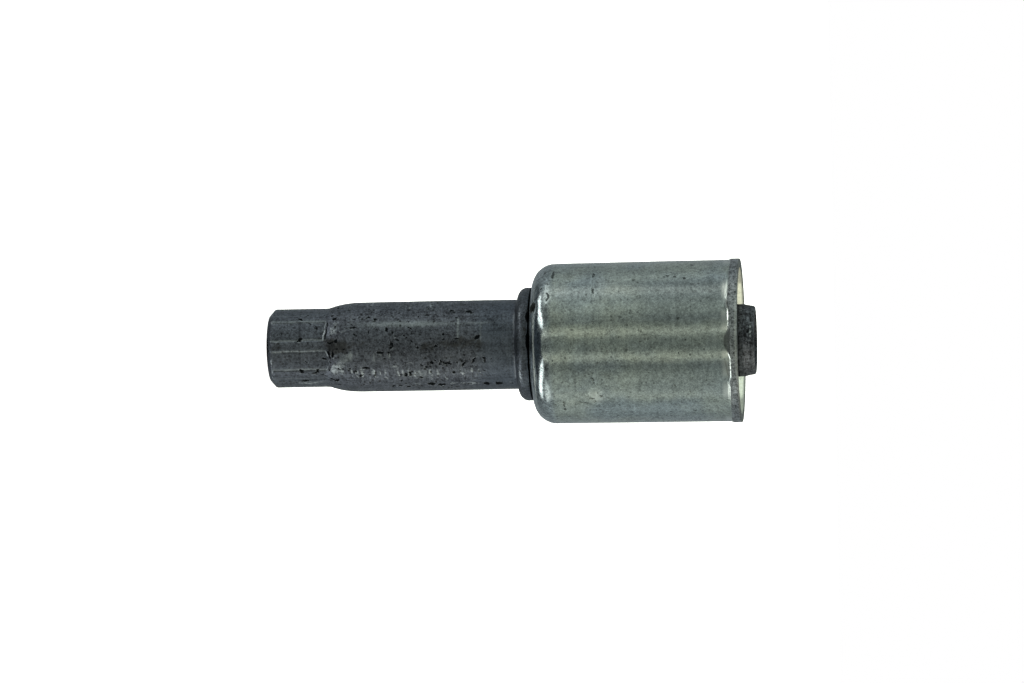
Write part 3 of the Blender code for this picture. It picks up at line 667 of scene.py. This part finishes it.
    # the lip's lower edge wanders a little round the cup
    wander = np.interp(here, (-60, -46, -39, -31, -27, -22, -12, 0, 9, 13, 26, 29.5, 34, 43, 60),
                       (0, 0.03, 0, -0.25, -0.25, 0.03, 0.15, 0.08, 0.12, 0.42, 0.40, 0.05, 0.15, 0.12, 0))
    wander = wander + 0.12 * noise3(X * 0.22, Y * 0.22, Z * 0, 146) * smooth(55, 75, np.abs(here))
    Z2 = Z2 + wander * smooth(80.7, 81.9, Z) * (1 - smooth(82.2, 83.2, Z)) * is_outer
    obj = turned("ferrule_cup", R2, Z2, PHI)
    inner = np.where(is_outer, 0.0, 1.0) * np.ones_like(R)
    band = np.where(lip, 1.0, 0.0) * smooth(edge_z - 0.05, edge_z + 0.05, Z)
    paint(obj, "zones", inner, band, (1 - smooth(50.3, 51.6, Z)) * np.where(is_outer, 1.0, 0.0))
    across_mouth = smooth(13.0, 13.06, R) * (Z > 83.3)
    rim = np.where(is_outer, across_mouth * smooth(83.44, 83.50, Z), 0) + np.where(is_outer, 0.0, 1.0) * smooth(83.40, 83.46, Z)
    rim = np.maximum(rim, np.where(is_outer & (R < 13.1) & (Z > 83.3), 1.0, 0.0))
    # painted shade along the lip's lower edge
    lip_darkening = np.where(is_outer, 0.62 * np.exp(-((Z - edge_z - 0.03) / 0.10) ** 2), 0)
    crisp = np.maximum(np.exp(-(wrap(PHI + 32) / 7) ** 4), np.exp(-(wrap(PHI - 20) / 8) ** 4))
    lip_darkening = lip_darkening * np.maximum(np.clip(0.7 + 0.9 * noise3(X * 0.4, Y * 0.4, Z * 0, 142), 0, 1), 1.25 * crisp)
    # painted shade along the crease
    lip_darkening = np.maximum(lip_darkening, np.where(is_outer, 0.85 * creased * np.exp(-((Z - crease) / 0.10) ** 2), 0))
    lip_darkening = np.maximum(lip_darkening, 0.97 * middle_shade)
    # painted shade in the gap between two highlight stretches
    between = np.exp(-(wrap(PHI + 26.2) / 4.3) ** 4) * smooth(81.60, 81.80, Z) * (Z < 82.2)
    lip_darkening = np.maximum(lip_darkening, np.where(is_outer, 0.85 * between, 0))
    # darker at the mouth's outer edge away from the middle
    lip_darkening = np.maximum(lip_darkening, np.where(is_outer, 0.60 * smooth(83.33, 83.40, Z) * smooth(20, 34, np.abs(here)), 0))
    # a painted highlight along the mouth's outer edge in the middle
    mouth_glint = np.where(is_outer, 0.58 * np.exp(-((Z - 83.30) / 0.13) ** 2) * (1 - smooth(20, 32, np.abs(here))), 0)
    lite = lite + mouth_glint
    # inside, the wall falls off into shade round the sides
    above, below = 0.68 * (1 - smooth(125, 133, np.abs(here))), 0.74 * (1 - smooth(124, 135, np.abs(here)))
    rim = np.maximum(rim, np.where(is_outer, 0.0, 1.0) * np.where(here < 0, above, below) * smooth(58, 84, np.abs(here)))
    # painted shade towards the mouth, above and below the bright middle
    dim = smooth(62.5, 69.5, Z + 1.2 * noise3(X * 0.2, Y * 0.2, Z * 0.2, 145))
    around = np.maximum(smooth(-54, -44, here) * (1 - smooth(-18, -11, here)), 0.62 * smooth(11, 17, here) * (1 - smooth(32, 46, here)))
    around = np.maximum(around, 0.38 * (np.abs(here) < 40))
    around = np.maximum(around, 0.5 * smooth(75, 95, np.abs(here)))
    dim = dim * around * np.where(is_outer & (Z < 81.9), 1.0, 0.0)
    paint(obj, "marks", pit_and_shade, lite, tone)
    paint(obj, "edges", np.maximum(rim, lip_darkening), np.maximum(scuff_and_ridge_highlight * np.where(is_outer, 1.0, 0.0), ridge_highlight), dim)

    # sight holes, drilled square to the shoulder
    for k, angle in enumerate((-30.5, 149.5)):
        reach = 12.5 - 10.225
        z = 47.0 + 3.9 - math.sqrt(3.9 ** 2 - reach ** 2)
        a = math.radians(angle)
        outward = Vector((math.sin(a), -math.cos(a), 0))
        t = math.radians(40)
        axis = outward * math.sin(t) - Vector((0, 0, 1)) * math.cos(t)
        mesh = bpy.data.meshes.new("drill")
        ring = 40
        pts = []
        for end in (-2.2, 2.2):
            for i in range(ring):
                b = 2 * math.pi * i / ring
                pts.append((0.9 * MM * math.cos(b), 0.9 * MM * math.sin(b), end * MM))
        faces = [tuple(reversed(range(ring))), tuple(range(ring, 2 * ring))]
        faces += [(i, (i + 1) % ring, ring + (i + 1) % ring, ring + i) for i in range(ring)]
        mesh.from_pydata(pts, [], faces)
        drill = bpy.data.objects.new("drill", mesh)
        bpy.context.scene.collection.objects.link(drill)
        drill.matrix_world = Matrix.Translation((outward * 12.5 + Vector((0, 0, z))) * MM) @ \
            axis.to_track_quat("Z", "Y").to_matrix().to_4x4()
        cut = obj.modifiers.new("cut", "BOOLEAN")
        cut.object, cut.operation, cut.solver = drill, "DIFFERENCE", "EXACT"
        bpy.context.view_layer.update()
        dg = bpy.context.evaluated_depsgraph_get()
        made = bpy.data.meshes.new_from_object(obj.evaluated_get(dg), preserve_all_data_layers=True, depsgraph=dg)
        obj.modifiers.clear()
        obj.data = made
        # painted shade: the drilled wall is painted dark
        co = np.empty(len(made.vertices) * 3, np.float32)
        made.vertices.foreach_get("co", co)
        rel = co.reshape(-1, 3) / MM - np.array(outward * 12.5 + Vector((0, 0, z)))
        reach = rel @ np.array(axis)
        radial = np.linalg.norm(rel - reach[:, None] * np.array(axis), axis=1)
        layer = made.attributes["marks"]
        data = np.empty(len(made.vertices) * 4, np.float32)
        layer.data.foreach_get("color", data)
        data = data.reshape(-1, 4)
        data[(radial < 0.93) & (np.abs(reach) < 2.2), 0] = 1.0
        layer.data.foreach_set("color", data.ravel())
        bpy.data.objects.remove(drill, do_unlink=True)
    obj.data.set_sharp_from_angle(angle=math.radians(40))
    obj.data.name = "ferrule_cup"
    return obj


# --------------------------------------------------------------------------- node helper
class Tree:
    def __init__(self, tree):
        self.tree = tree
        for n in list(tree.nodes):
            tree.nodes.remove(n)

    def node(self, kind, inputs=None, **props):
        n = self.tree.nodes.new(kind)
        for k, v in props.items():
            setattr(n, k, v)
        for k, v in (inputs or {}).items():
            self.put(n.inputs[k], v)
        return n

    def put(self, socket, value):
        if isinstance(value, bpy.types.NodeSocket):
            self.tree.links.new(value, socket)
        else:
            socket.default_value = value

    def math(self, op, a, b=0.0, c=0.0, clamp=False):
        n = self.node("ShaderNodeMath", operation=op, use_clamp=clamp)
        for i, v in enumerate((a, b, c)):
            self.put(n.inputs[i], v)
        return n.outputs[0]

    def span(self, value, lo, hi, to_lo=0.0, to_hi=1.0, kind="SMOOTHSTEP"):
        n = self.node("ShaderNodeMapRange", interpolation_type=kind, clamp=True)
        for i, v in enumerate((value, lo, hi, to_lo, to_hi)):
            self.put(n.inputs[i], v)
        return n.outputs[0]

    def mix(self, fac, a, b, blend="MIX"):
        n = self.node("ShaderNodeMix", data_type="RGBA", blend_type=blend, clamp_factor=True)
        self.put(n.inputs[0], fac)
        self.put(n.inputs[6], a)
        self.put(n.inputs[7], b)
        return n.outputs[2]

    def noise(self, coord, scale, detail=2.0, rough=0.5, stretch=(1, 1, 1), shift=(0, 0, 0)):
        m = self.node("ShaderNodeMapping", vector_type="POINT")
        self.put(m.inputs["Vector"], coord)
        m.inputs["Scale"].default_value = stretch
        m.inputs["Location"].default_value = shift
        n = self.node("ShaderNodeTexNoise", noise_dimensions="3D")
        self.put(n.inputs["Vector"], m.outputs[0])
        n.inputs["Scale"].default_value = scale
        n.inputs["Detail"].default_value = detail
        n.inputs["Roughness"].default_value = rough
        return n.outputs["Fac"]

    def cells(self, coord, scale, stretch=(1, 1, 1), shift=(0, 0, 0)):
        m = self.node("ShaderNodeMapping", vector_type="POINT")
        self.put(m.inputs["Vector"], coord)
        m.inputs["Scale"].default_value = stretch
        m.inputs["Location"].default_value = shift
        n = self.node("ShaderNodeTexVoronoi", feature="F1")
        self.put(n.inputs["Vector"], m.outputs[0])
        n.inputs["Scale"].default_value = scale
        return n.outputs["Distance"]


def rgb(r, g, b):
    return (r, g, b, 1.0)


def painted(t, name):
    a = t.node("ShaderNodeAttribute", attribute_type="GEOMETRY", attribute_name=name)
    s = t.node("ShaderNodeSeparateColor")
    t.put(s.inputs[0], a.outputs["Color"])
    return s.outputs[0], s.outputs[1], s.outputs[2]


# --------------------------------------------------------------------------- materials
def swing(t, fac, amount, start=None):
    """start + amount * (fac - 0.5)"""
    off = t.math("SUBTRACT", fac, 0.5)
    return t.math("MULTIPLY_ADD", off, amount, 1.0 if start is None else start)


def tinted(t, colour, value):
    c = t.node("ShaderNodeCombineXYZ")
    for i in range(3):
        t.put(c.inputs[i], value)
    return t.mix(1.0, colour, c.outputs[0], "MULTIPLY")


def stem_material():
    mat = bpy.data.materials.new("oiled_tube_steel")
    mat.use_nodes = True
    t = Tree(mat.node_tree)
    coord = t.node("ShaderNodeTexCoord").outputs["Object"]
    pit_and_shade, lite, tone = painted(t, "marks")
    calm, dark_zone, bead = painted(t, "zones")
    stain, rows, tip = painted(t, "stains")
    soft, dusk, _ = painted(t, "lines")
    wear_and_highlight = t.math("SUBTRACT", 1.0, calm)

    dust = t.noise(coord, 4700, 1.0, 0.5, shift=(0.9, 0.3, 0.2))
    grain = t.noise(coord, 2500, 2.0, 0.6)
    crumb = t.noise(coord, 1300, 3.0, 0.65, stretch=(1, 1, 0.85), shift=(0.6, 0, 0.1))
    blotch = t.noise(coord, 520, 3.0, 0.6, stretch=(1, 1, 0.8))
    patch = t.noise(coord, 170, 2.0, 0.5, stretch=(1, 1, 0.55), shift=(0.3, 0, 0))
    along = t.noise(coord, 2100, 2.0, 0.5, stretch=(1, 1, 0.10), shift=(0, 0.2, 0))
    across = t.noise(coord, 2000, 2.0, 0.5, stretch=(0.16, 0.16, 1), shift=(0, 0, 0.4))
    ragged = t.noise(coord, 3300, 2.0, 0.6, shift=(0.5, 0.1, 0.9))
    specks = t.cells(coord, 1250, shift=(0.1, 0.7, 0))
    gate = t.noise(coord, 420, 1.0, 0.5, shift=(2, 1, 0))
    speck = t.math("MULTIPLY", t.span(specks, 0.34, 0.20), t.span(gate, 0.49, 0.58))
    upright = t.noise(coord, 3300, 2.0, 0.6, stretch=(0.22, 0.22, 1), shift=(0.3, 0, 0.8))

    # brightness of the metal, around 1
    v = swing(t, dust, 1.6)
    v = swing(t, grain, 2.1, v)
    v = swing(t, crumb, 1.25, v)
    v = swing(t, blotch, 0.60, v)
    v = swing(t, along, 0.8, v)
    v = swing(t, across, 0.9, v)
    v = swing(t, patch, 0.3, v)
    v = t.math("MULTIPLY_ADD", t.math("MULTIPLY", t.math("SUBTRACT", upright, 0.5), rows), 1.7, v)
    keep = t.math("MULTIPLY_ADD", wear_and_highlight, 0.32, 0.68)
    keep = t.math("MULTIPLY_ADD", tip, 0.75, keep)
    v = t.math("MULTIPLY_ADD", t.math("SUBTRACT", v, 1.0), keep, 1.0)
    v = swing(t, tone, 0.45, v)
    v = t.math("MINIMUM", t.math("MAXIMUM", v, 0.16), 2.6)

    base = t.mix(patch, rgb(0.111, 0.120, 0.143), rgb(0.117, 0.126, 0.144))
    base = t.mix(calm, base, rgb(0.105, 0.122, 0.148))
    base = t.mix(bead, base, rgb(0.103, 0.115, 0.132))
    base = t.mix(dark_zone, base, rgb(0.052, 0.056, 0.064))
    base = tinted(t, base, v)
    # rubbed bright places and painted highlights (on the burrs, the ribs' edges, the bead and the nipple's end) break
    # up in the grain
    shine = t.math("ADD", lite, t.math("MULTIPLY", t.math("SUBTRACT", grain, 0.5), 1.35))
    shine = t.math("MULTIPLY", t.span(shine, 0.15, 0.90), t.span(lite, 0.03, 0.25))
    base = t.mix(t.math("MULTIPLY", shine, 0.95), base, tinted(t, rgb(0.36, 0.39, 0.405), v))
    flecks = t.math("MULTIPLY", t.span(upright, 0.60, 0.70), t.math("MULTIPLY", rows, t.span(gate, 0.40, 0.55)))
    base = t.mix(t.math("MULTIPLY", flecks, 0.45), base, rgb(0.33, 0.36, 0.36))
    # soft lines: light ones (painted highlights along the ribs' edges, light turned lines and soft light places), dark
    # ones (painted shade beside the ribs' lines and on the nipple's end, and thin dark lines across the lands)
    even = t.math("MULTIPLY_ADD", t.math("SUBTRACT", v, 1.0), 0.45, 1.0)
    base = t.mix(t.math("MINIMUM", soft, 0.92), base, tinted(t, rgb(0.285, 0.312, 0.330), even))
    base = t.mix(t.math("MULTIPLY", dusk, 0.85), base, tinted(t, rgb(0.026, 0.029, 0.034), even))
    # oily dark stains
    grime = t.math("ADD", stain, t.math("MULTIPLY", t.math("SUBTRACT", crumb, 0.5), 2.6))
    grime = t.math("MULTIPLY", t.span(grime, 0.12, 0.85), t.span(stain, 0.02, 0.22))
    base = t.mix(t.math("MULTIPLY", grime, 0.77), base, tinted(t, rgb(0.036, 0.035, 0.032), v))
    # pits and dark places with ragged edges, among them painted shade at the back of the bead, past the burrs, at the
    # nipple's foot and in the bore
    dark_pits_and_shade = t.math("ADD", pit_and_shade, t.math("MULTIPLY", t.math("SUBTRACT", ragged, 0.5), 1.5))
    dark_pits_and_shade = t.math("MULTIPLY", t.span(dark_pits_and_shade, 0.34, 0.50), t.span(pit_and_shade, 0.05, 0.22))
    dark_pits_and_shade = t.math("MAXIMUM", dark_pits_and_shade, t.math("MULTIPLY", speck, t.math("MULTIPLY", wear_and_highlight, 0.9)))
    base = t.mix(dark_pits_and_shade, base, rgb(0.005, 0.006, 0.007))

    rough = t.math("MULTIPLY_ADD", blotch, 0.16, 0.34)
    rough = t.math("MULTIPLY_ADD", dark_pits_and_shade, 0.20, rough)
    rough = t.math("MULTIPLY_ADD", calm, -0.05, rough)
    rough = t.math("MULTIPLY_ADD", dark_zone, 0.18, rough)
    rough = t.math("MINIMUM", t.math("MAXIMUM", rough, 0.2), 0.9)

    height = t.math("MULTIPLY_ADD", blotch, 0.8, t.math("MULTIPLY", crumb, 0.8))
    height = t.math("MULTIPLY_ADD", grain, 0.55, height)
    height = t.math("MULTIPLY_ADD", dust, 0.25, height)
    height = t.math("MULTIPLY_ADD", along, 0.30, height)
    height = t.math("MULTIPLY_ADD", across, 0.30, height)
    height = t.math("MULTIPLY", height, t.math("MULTIPLY_ADD", wear_and_highlight, 0.75, 0.25))
    height = t.math("MULTIPLY_ADD", dark_pits_and_shade, -0.6, height)
    bump = t.node("ShaderNodeBump", {"Height": height})
    bump.inputs["Strength"].default_value = 0.8
    bump.inputs["Distance"].default_value = 0.000040

    b = t.node("ShaderNodeBsdfPrincipled", {"Base Color": base, "Roughness": rough, "Normal": bump.outputs[0]})
    t.put(b.inputs["Metallic"], t.math("MULTIPLY_ADD", dark_pits_and_shade, -0.92, 0.92))
    t.put(b.inputs["Specular IOR Level"], t.math("MULTIPLY_ADD", dark_pits_and_shade, -0.50, 0.5))
    out = t.node("ShaderNodeOutputMaterial")
    t.put(out.inputs[0], b.outputs[0])
    return mat


def ferrule_material():
    mat = bpy.data.materials.new("zinc_plate")
    mat.use_nodes = True
    t = Tree(mat.node_tree)
    coord = t.node("ShaderNodeTexCoord").outputs["Object"]
    pit_and_shade, lite, tone = painted(t, "marks")
    inner, band, rear = painted(t, "zones")
    rim, scuff_and_ridge_highlight, mouth = painted(t, "edges")

    dust = t.noise(coord, 5000, 1.0, 0.5, shift=(0.9, 0.3, 0.2))
    grain = t.noise(coord, 2600, 2.0, 0.62)
    mottle = t.noise(coord, 1150, 3.0, 0.62, stretch=(1, 1, 1.1), shift=(0.2, 0, 0))
    spangle = t.noise(coord, 430, 3.0, 0.6, stretch=(1, 1, 0.9), shift=(0.2, 0.8, 0))
    cloud = t.noise(coord, 120, 3.0, 0.55, stretch=(1, 1, 0.8), shift=(0, 0.5, 0))
    across = t.noise(coord, 1300, 2.0, 0.5, stretch=(0.10, 0.10, 1), shift=(0, 0, 0.4))
    ragged = t.noise(coord, 3300, 2.0, 0.6, shift=(0.5, 0.1, 0.9))
    specks = t.cells(coord, 1000, shift=(0.4, 0.7, 0))
    gate = t.noise(coord, 260, 1.0, 0.5, shift=(2, 1, 0))
    speck = t.math("MULTIPLY", t.span(specks, 0.27, 0.13), t.span(gate, 0.46, 0.56))

    v = swing(t, dust, 1.1)
    v = swing(t, grain, 1.2, v)
    v = swing(t, mottle, 1.10, v)
    v = swing(t, spangle, 0.42, v)
    v = swing(t, across, 0.45, v)
    v = swing(t, cloud, 0.22, v)
    v = swing(t, tone, 0.20, v)
    more = t.math("MAXIMUM", t.math("MAXIMUM", t.math("MULTIPLY", band, 2.3), scuff_and_ridge_highlight), t.math("MULTIPLY", rear, 0.8))
    v = t.math("MULTIPLY_ADD", t.math("SUBTRACT", v, 1.0), t.math("MULTIPLY_ADD", more, 0.55, 1.0), 1.0)
    v = t.math("MULTIPLY_ADD", t.math("SUBTRACT", v, 1.0), t.math("MULTIPLY_ADD", inner, -0.6, 1.0), 1.0)
    v = t.math("MAXIMUM", v, 0.2)

    base = t.mix(t.span(cloud, 0.35, 0.65), rgb(0.490, 0.555, 0.543), rgb(0.540, 0.590, 0.518))
    base = t.mix(rear, base, rgb(0.430, 0.480, 0.478))
    base = t.mix(band, base, rgb(0.286, 0.304, 0.308))
    base = t.mix(inner, base, rgb(0.975, 1.0, 0.885))
    # painted shade towards the mouth, darker and a little bluer
    base = t.mix(mouth, base, rgb(0.390, 0.440, 0.425))
    base = tinted(t, base, v)
    # rubbed places, and painted highlights along the rear ridge, the fillet's stretches and the mouth's edge, in a
    # lighter colour
    base = t.mix(t.math("MINIMUM", lite, 1.0), base, rgb(0.74, 0.78, 0.72))
    # dark nicks and specks, and the sight holes' walls painted dark as shade
    dark_pits_and_shade = t.math("ADD", pit_and_shade, t.math("MULTIPLY", t.math("SUBTRACT", ragged, 0.5), 1.5))
    dark_pits_and_shade = t.math("MULTIPLY", t.span(dark_pits_and_shade, 0.30, 0.55), t.span(pit_and_shade, 0.05, 0.25))
    dark_pits_and_shade = t.math("MAXIMUM", dark_pits_and_shade, t.math("MULTIPLY", speck, t.math("SUBTRACT", 0.62, t.math("MULTIPLY", t.math("MAXIMUM", inner, band), 0.5))))
    base = t.mix(t.math("MULTIPLY", dark_pits_and_shade, 0.88), base, rgb(0.050, 0.057, 0.056))
    # dark mouth edges, and painted shade inside round the sides and along the lip
    base = t.mix(t.math("MULTIPLY", rim, 0.85), base, rgb(0.060, 0.066, 0.066))

    rough = t.math("MULTIPLY_ADD", mottle, 0.09, 0.115)
    rough = t.math("MULTIPLY_ADD", band, 0.16, rough)
    rough = t.math("MULTIPLY_ADD", inner, 0.42, rough)
    rough = t.math("MULTIPLY_ADD", scuff_and_ridge_highlight, 0.45, rough)
    rough = t.math("MULTIPLY_ADD", rim, 0.30, rough)
    rough = t.math("MULTIPLY_ADD", dark_pits_and_shade, 0.15, rough)

    height = t.math("MULTIPLY_ADD", spangle, 1.3, t.math("MULTIPLY", mottle, 0.8))
    height = t.math("MULTIPLY_ADD", grain, 0.45, height)
    height = t.math("MULTIPLY_ADD", across, 0.4, height)
    height = t.math("MULTIPLY_ADD", dark_pits_and_shade, -0.6, height)
    height = t.math("MULTIPLY", height, t.math("MULTIPLY_ADD", rear, -0.25, 1.0))
    bump = t.node("ShaderNodeBump", {"Height": height})
    bump.inputs["Strength"].default_value = 0.8
    bump.inputs["Distance"].default_value = 0.000022

    b = t.node("ShaderNodeBsdfPrincipled", {"Base Color": base, "Roughness": rough, "Normal": bump.outputs[0]})
    t.put(b.inputs["Metallic"], t.math("MULTIPLY_ADD", inner, -1.0, 1.0))
    out = t.node("ShaderNodeOutputMaterial")
    t.put(out.inputs[0], b.outputs[0])
    return mat


# --------------------------------------------------------------------------- light tent
# Directions round the object: azimuth in degrees from the side that the camera looks at,
# positive towards +X; elevation in degrees.
# Upright strip lights in the tent's wall: (azimuth, half width, r, g, b)
WALL_STRIPS = [
    (-15.2, 5.4, 0.305, 0.310, 0.268),    # narrow warm pair beside the camera
    (21.2, 6.5, 0.295, 0.295, 0.245),
    (-52, 17.0, 0.155, 0.165, 0.142),     # soft pair further out
    (58, 17.0, 0.100, 0.103, 0.088),
    (-79.5, 7.2, 0.225, 0.225, 0.210),    # side windows
    (82.0, 8.4, 0.165, 0.170, 0.160),
    (-104, 12.0, 0.105, 0.116, 0.124),    # behind the windows
    (110, 11.0, 0.110, 0.120, 0.125),
]
# Panels: (azimuth, elevation, half width, half height, softness, r, g, b)
PANELS = [
    (-80, -20, 19, 12, 0.35, 0.52, 0.54, 0.51),     # the windows' bright lower parts
    (79, -22, 17, 10, 0.35, 0.66, 0.68, 0.65),
    (-76, 42, 34, 20, 0.35, 5.2, 5.9, 5.3),         # overhead, left and right
    (76, 42, 34, 20, 0.35, 6.25, 6.08, 5.0),
]


def light_tent():
    world = bpy.data.worlds.new("light_tent")
    bpy.context.scene.world = world
    world.use_nodes = True
    t = Tree(world.node_tree)
    direction = t.node("ShaderNodeTexCoord").outputs["Generated"]
    s = t.node("ShaderNodeSeparateXYZ")
    t.put(s.inputs[0], direction)
    x, y, z = s.outputs
    az = t.math("MULTIPLY", t.math("ARCTAN2", x, t.math("MULTIPLY", y, -1.0)), 180 / math.pi)
    el = t.math("MULTIPLY", t.math("ARCSINE", z), 180 / math.pi)
    roll = t.math("MULTIPLY", t.math("ARCTAN2", x, t.math("MULTIPLY", z, -1.0)), 180 / math.pi)

    def added(total, weight, r, g, b):
        v = t.node("ShaderNodeVectorMath", operation="MULTIPLY_ADD")
        v.inputs[0].default_value = (r, g, b)
        c = t.node("ShaderNodeCombineXYZ")
        for i in range(3):
            t.put(c.inputs[i], weight)
        t.put(v.inputs[1], c.outputs[0])
        t.put(v.inputs[2], total)
        return v.outputs[0]

    # the wall: cool and dim near the camera, a little lighter round the sides
    far = t.math("ABSOLUTE", az)
    wall = t.mix(t.span(far, 25, 75), rgb(0.180, 0.200, 0.186), rgb(0.238, 0.268, 0.278))
    wall = t.mix(t.math("MULTIPLY", t.span(far, 23, 30), t.span(far, 44, 36)), wall, rgb(0.152, 0.172, 0.172))
    wall = t.mix(t.span(far, 118, 150), wall, rgb(0.255, 0.285, 0.300))
    for a0, half, r, g, b in WALL_STRIPS:
        q = t.math("DIVIDE", t.math("SUBTRACT", az, a0), half)
        w = t.math("EXPONENT", t.math("MULTIPLY", t.math("MULTIPLY", q, q), -1.0))
        if half < 7:
            w = t.math("MULTIPLY", w, t.span(el, -8, -24, 1.0, 2.1))
        wall = added(wall, w, r, g, b)
    # the ceiling, and the darker stretch above the camera
    front = t.span(far, 58, 35)
    wall = t.mix(t.math("MULTIPLY", t.span(el, 8, 20), front), wall, rgb(0.15, 0.165, 0.16))
    shade = t.math("MULTIPLY", t.span(el, -9, -20), t.math("MULTIPLY", t.span(far, 26, 34), t.span(far, 62, 52)))
    wall = t.mix(t.math("MULTIPLY", shade, 0.8), wall, rgb(0.11, 0.12, 0.12))
    colour = t.mix(t.span(el, 50, 68), wall, rgb(0.52, 0.54, 0.52))

    # the table side: dark in the middle, two long bright strips, grey outside them
    spread = t.math("ABSOLUTE", roll)
    table = t.mix(t.span(spread, 50, 66), rgb(0.034, 0.042, 0.052), rgb(0.26, 0.29, 0.30))
    table = t.mix(t.span(y, 0.30, 0.42), table, rgb(0.15, 0.17, 0.18))
    for a0, drift, half, near, far_end in ((-33.0, -12.0, 7.6, (-0.80, -0.62), (0.14, -0.02)),
                                           (43.5, 5.0, 7.4, (-0.73, -0.57), (0.34, 0.12))):
        lean = t.math("MULTIPLY", y, 17.0) if a0 > 0 else \
            t.math("MULTIPLY_ADD", t.span(y, -0.34, 0.04), drift, t.span(y, 0.04, 0.44, 0, 16))
        q = t.math("SUBTRACT", roll, t.math("ADD", lean, a0))
        reach = t.math("MULTIPLY", t.span(y, near[0], near[1]), t.span(y, far_end[0], far_end[1]))
        w = t.math("MULTIPLY", t.span(t.math("ABSOLUTE", q), half * 1.35, half * 0.65), reach)
        table = added(table, w, 2.55, 2.65, 2.6)
    w = t.math("MULTIPLY", t.span(t.math("ABSOLUTE", t.math("SUBTRACT", y, 0.21)), 0.11, 0.05), t.span(spread, 34, 22))
    table = added(table, w, 0.44, 0.47, 0.47)
    low_edge = t.span(spread, 10, 26, -42, -33)
    colour = t.mix(t.span(t.math("SUBTRACT", el, low_edge), 0, -10), colour, table)

    for a0, e0, wa, we, soft, r, g, b in PANELS:
        da = t.math("DIVIDE", t.math("SUBTRACT", az, a0), wa)
        de = t.math("DIVIDE", t.math("SUBTRACT", el, e0), we)
        q = t.math("SQRT", t.math("ADD", t.math("MULTIPLY", da, da), t.math("MULTIPLY", de, de)))
        colour = added(colour, t.span(q, 1.0 + soft, 1.0 - soft), r, g, b)

    tent = t.node("ShaderNodeBackground", {"Color": colour, "Strength": 1.0})
    white = t.node("ShaderNodeBackground", {"Color": rgb(1, 1, 1), "Strength": 1.0})
    path = t.node("ShaderNodeLightPath")
    pick = t.node("ShaderNodeMixShader")
    t.put(pick.inputs[0], path.outputs["Is Camera Ray"])
    t.put(pick.inputs[1], tent.outputs[0])
    t.put(pick.inputs[2], white.outputs[0])
    out = t.node("ShaderNodeOutputWorld")
    t.put(out.inputs[0], pick.outputs[0])


def floor():
    mesh = bpy.data.meshes.new("floor")
    n, r = 96, 3.0
    pts = [(r * math.sin(2 * math.pi * i / n), -r * math.cos(2 * math.pi * i / n), 0.0) for i in range(n)]
    mesh.from_pydata(pts, [], [tuple(range(n))])
    obj = bpy.data.objects.new("floor", mesh)
    bpy.context.scene.collection.objects.link(obj)
    mat = bpy.data.materials.new("pale_floor")
    mat.use_nodes = True
    t = Tree(mat.node_tree)
    d = t.node("ShaderNodeBsdfDiffuse")
    d.inputs["Color"].default_value = rgb(0.8, 0.8, 0.8)
    e = t.node("ShaderNodeEmission")
    e.inputs["Color"].default_value = rgb(1, 1, 1)
    e.inputs["Strength"].default_value = 0.88
    add = t.node("ShaderNodeAddShader")
    t.put(add.inputs[0], d.outputs[0])
    t.put(add.inputs[1], e.outputs[0])
    out = t.node("ShaderNodeOutputMaterial")
    t.put(out.inputs[0], add.outputs[0])
    mesh.materials.append(mat)
    # seen by the camera alone, so the tent below lights the metal as well
    obj.visible_diffuse = obj.visible_glossy = obj.visible_transmission = False
    obj.visible_shadow = obj.visible_volume_scatter = False


# --------------------------------------------------------------------------- camera
def camera():
    data = bpy.data.cameras.new("camera")
    data.sensor_width = 36.0
    data.lens = 162.98
    data.clip_start, data.clip_end = 0.05, 20.0
    data.shift_x = -1.65 / 1024
    data.shift_y = 2.85 / 1024
    cam = bpy.data.objects.new("camera", data)
    bpy.context.scene.collection.objects.link(cam)
    tilt = math.radians(5.85)
    back = Vector((0, -math.cos(tilt), math.sin(tilt)))
    along = Vector((0, math.sin(tilt), math.cos(tilt)))
    side = Vector((1, 0, 0))
    a = math.radians(1.03)
    right = along * math.cos(a) + side * math.sin(a)
    up = -side * math.cos(a) + along * math.sin(a)
    place = Vector((0, 0, 43.28 * MM)) + back * 820 * MM
    m = Matrix((right, up, back)).transposed().to_4x4()
    m.translation = place
    cam.matrix_world = m
    bpy.context.scene.camera = cam


# --------------------------------------------------------------------------- build
stem = make_stem()
stem.data.materials.append(stem_material())
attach(stem, "stem")
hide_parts("stem")

ferrule = make_ferrule()
ferrule.data.materials.clear()
ferrule.data.materials.append(ferrule_material())
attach(ferrule, "ferrule")
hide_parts("ferrule")

light_tent()
floor()
camera()

view = bpy.context.scene.view_settings
view.view_transform = "Standard"
view.look = "None"
view.exposure = 0.0
view.gamma = 1.0
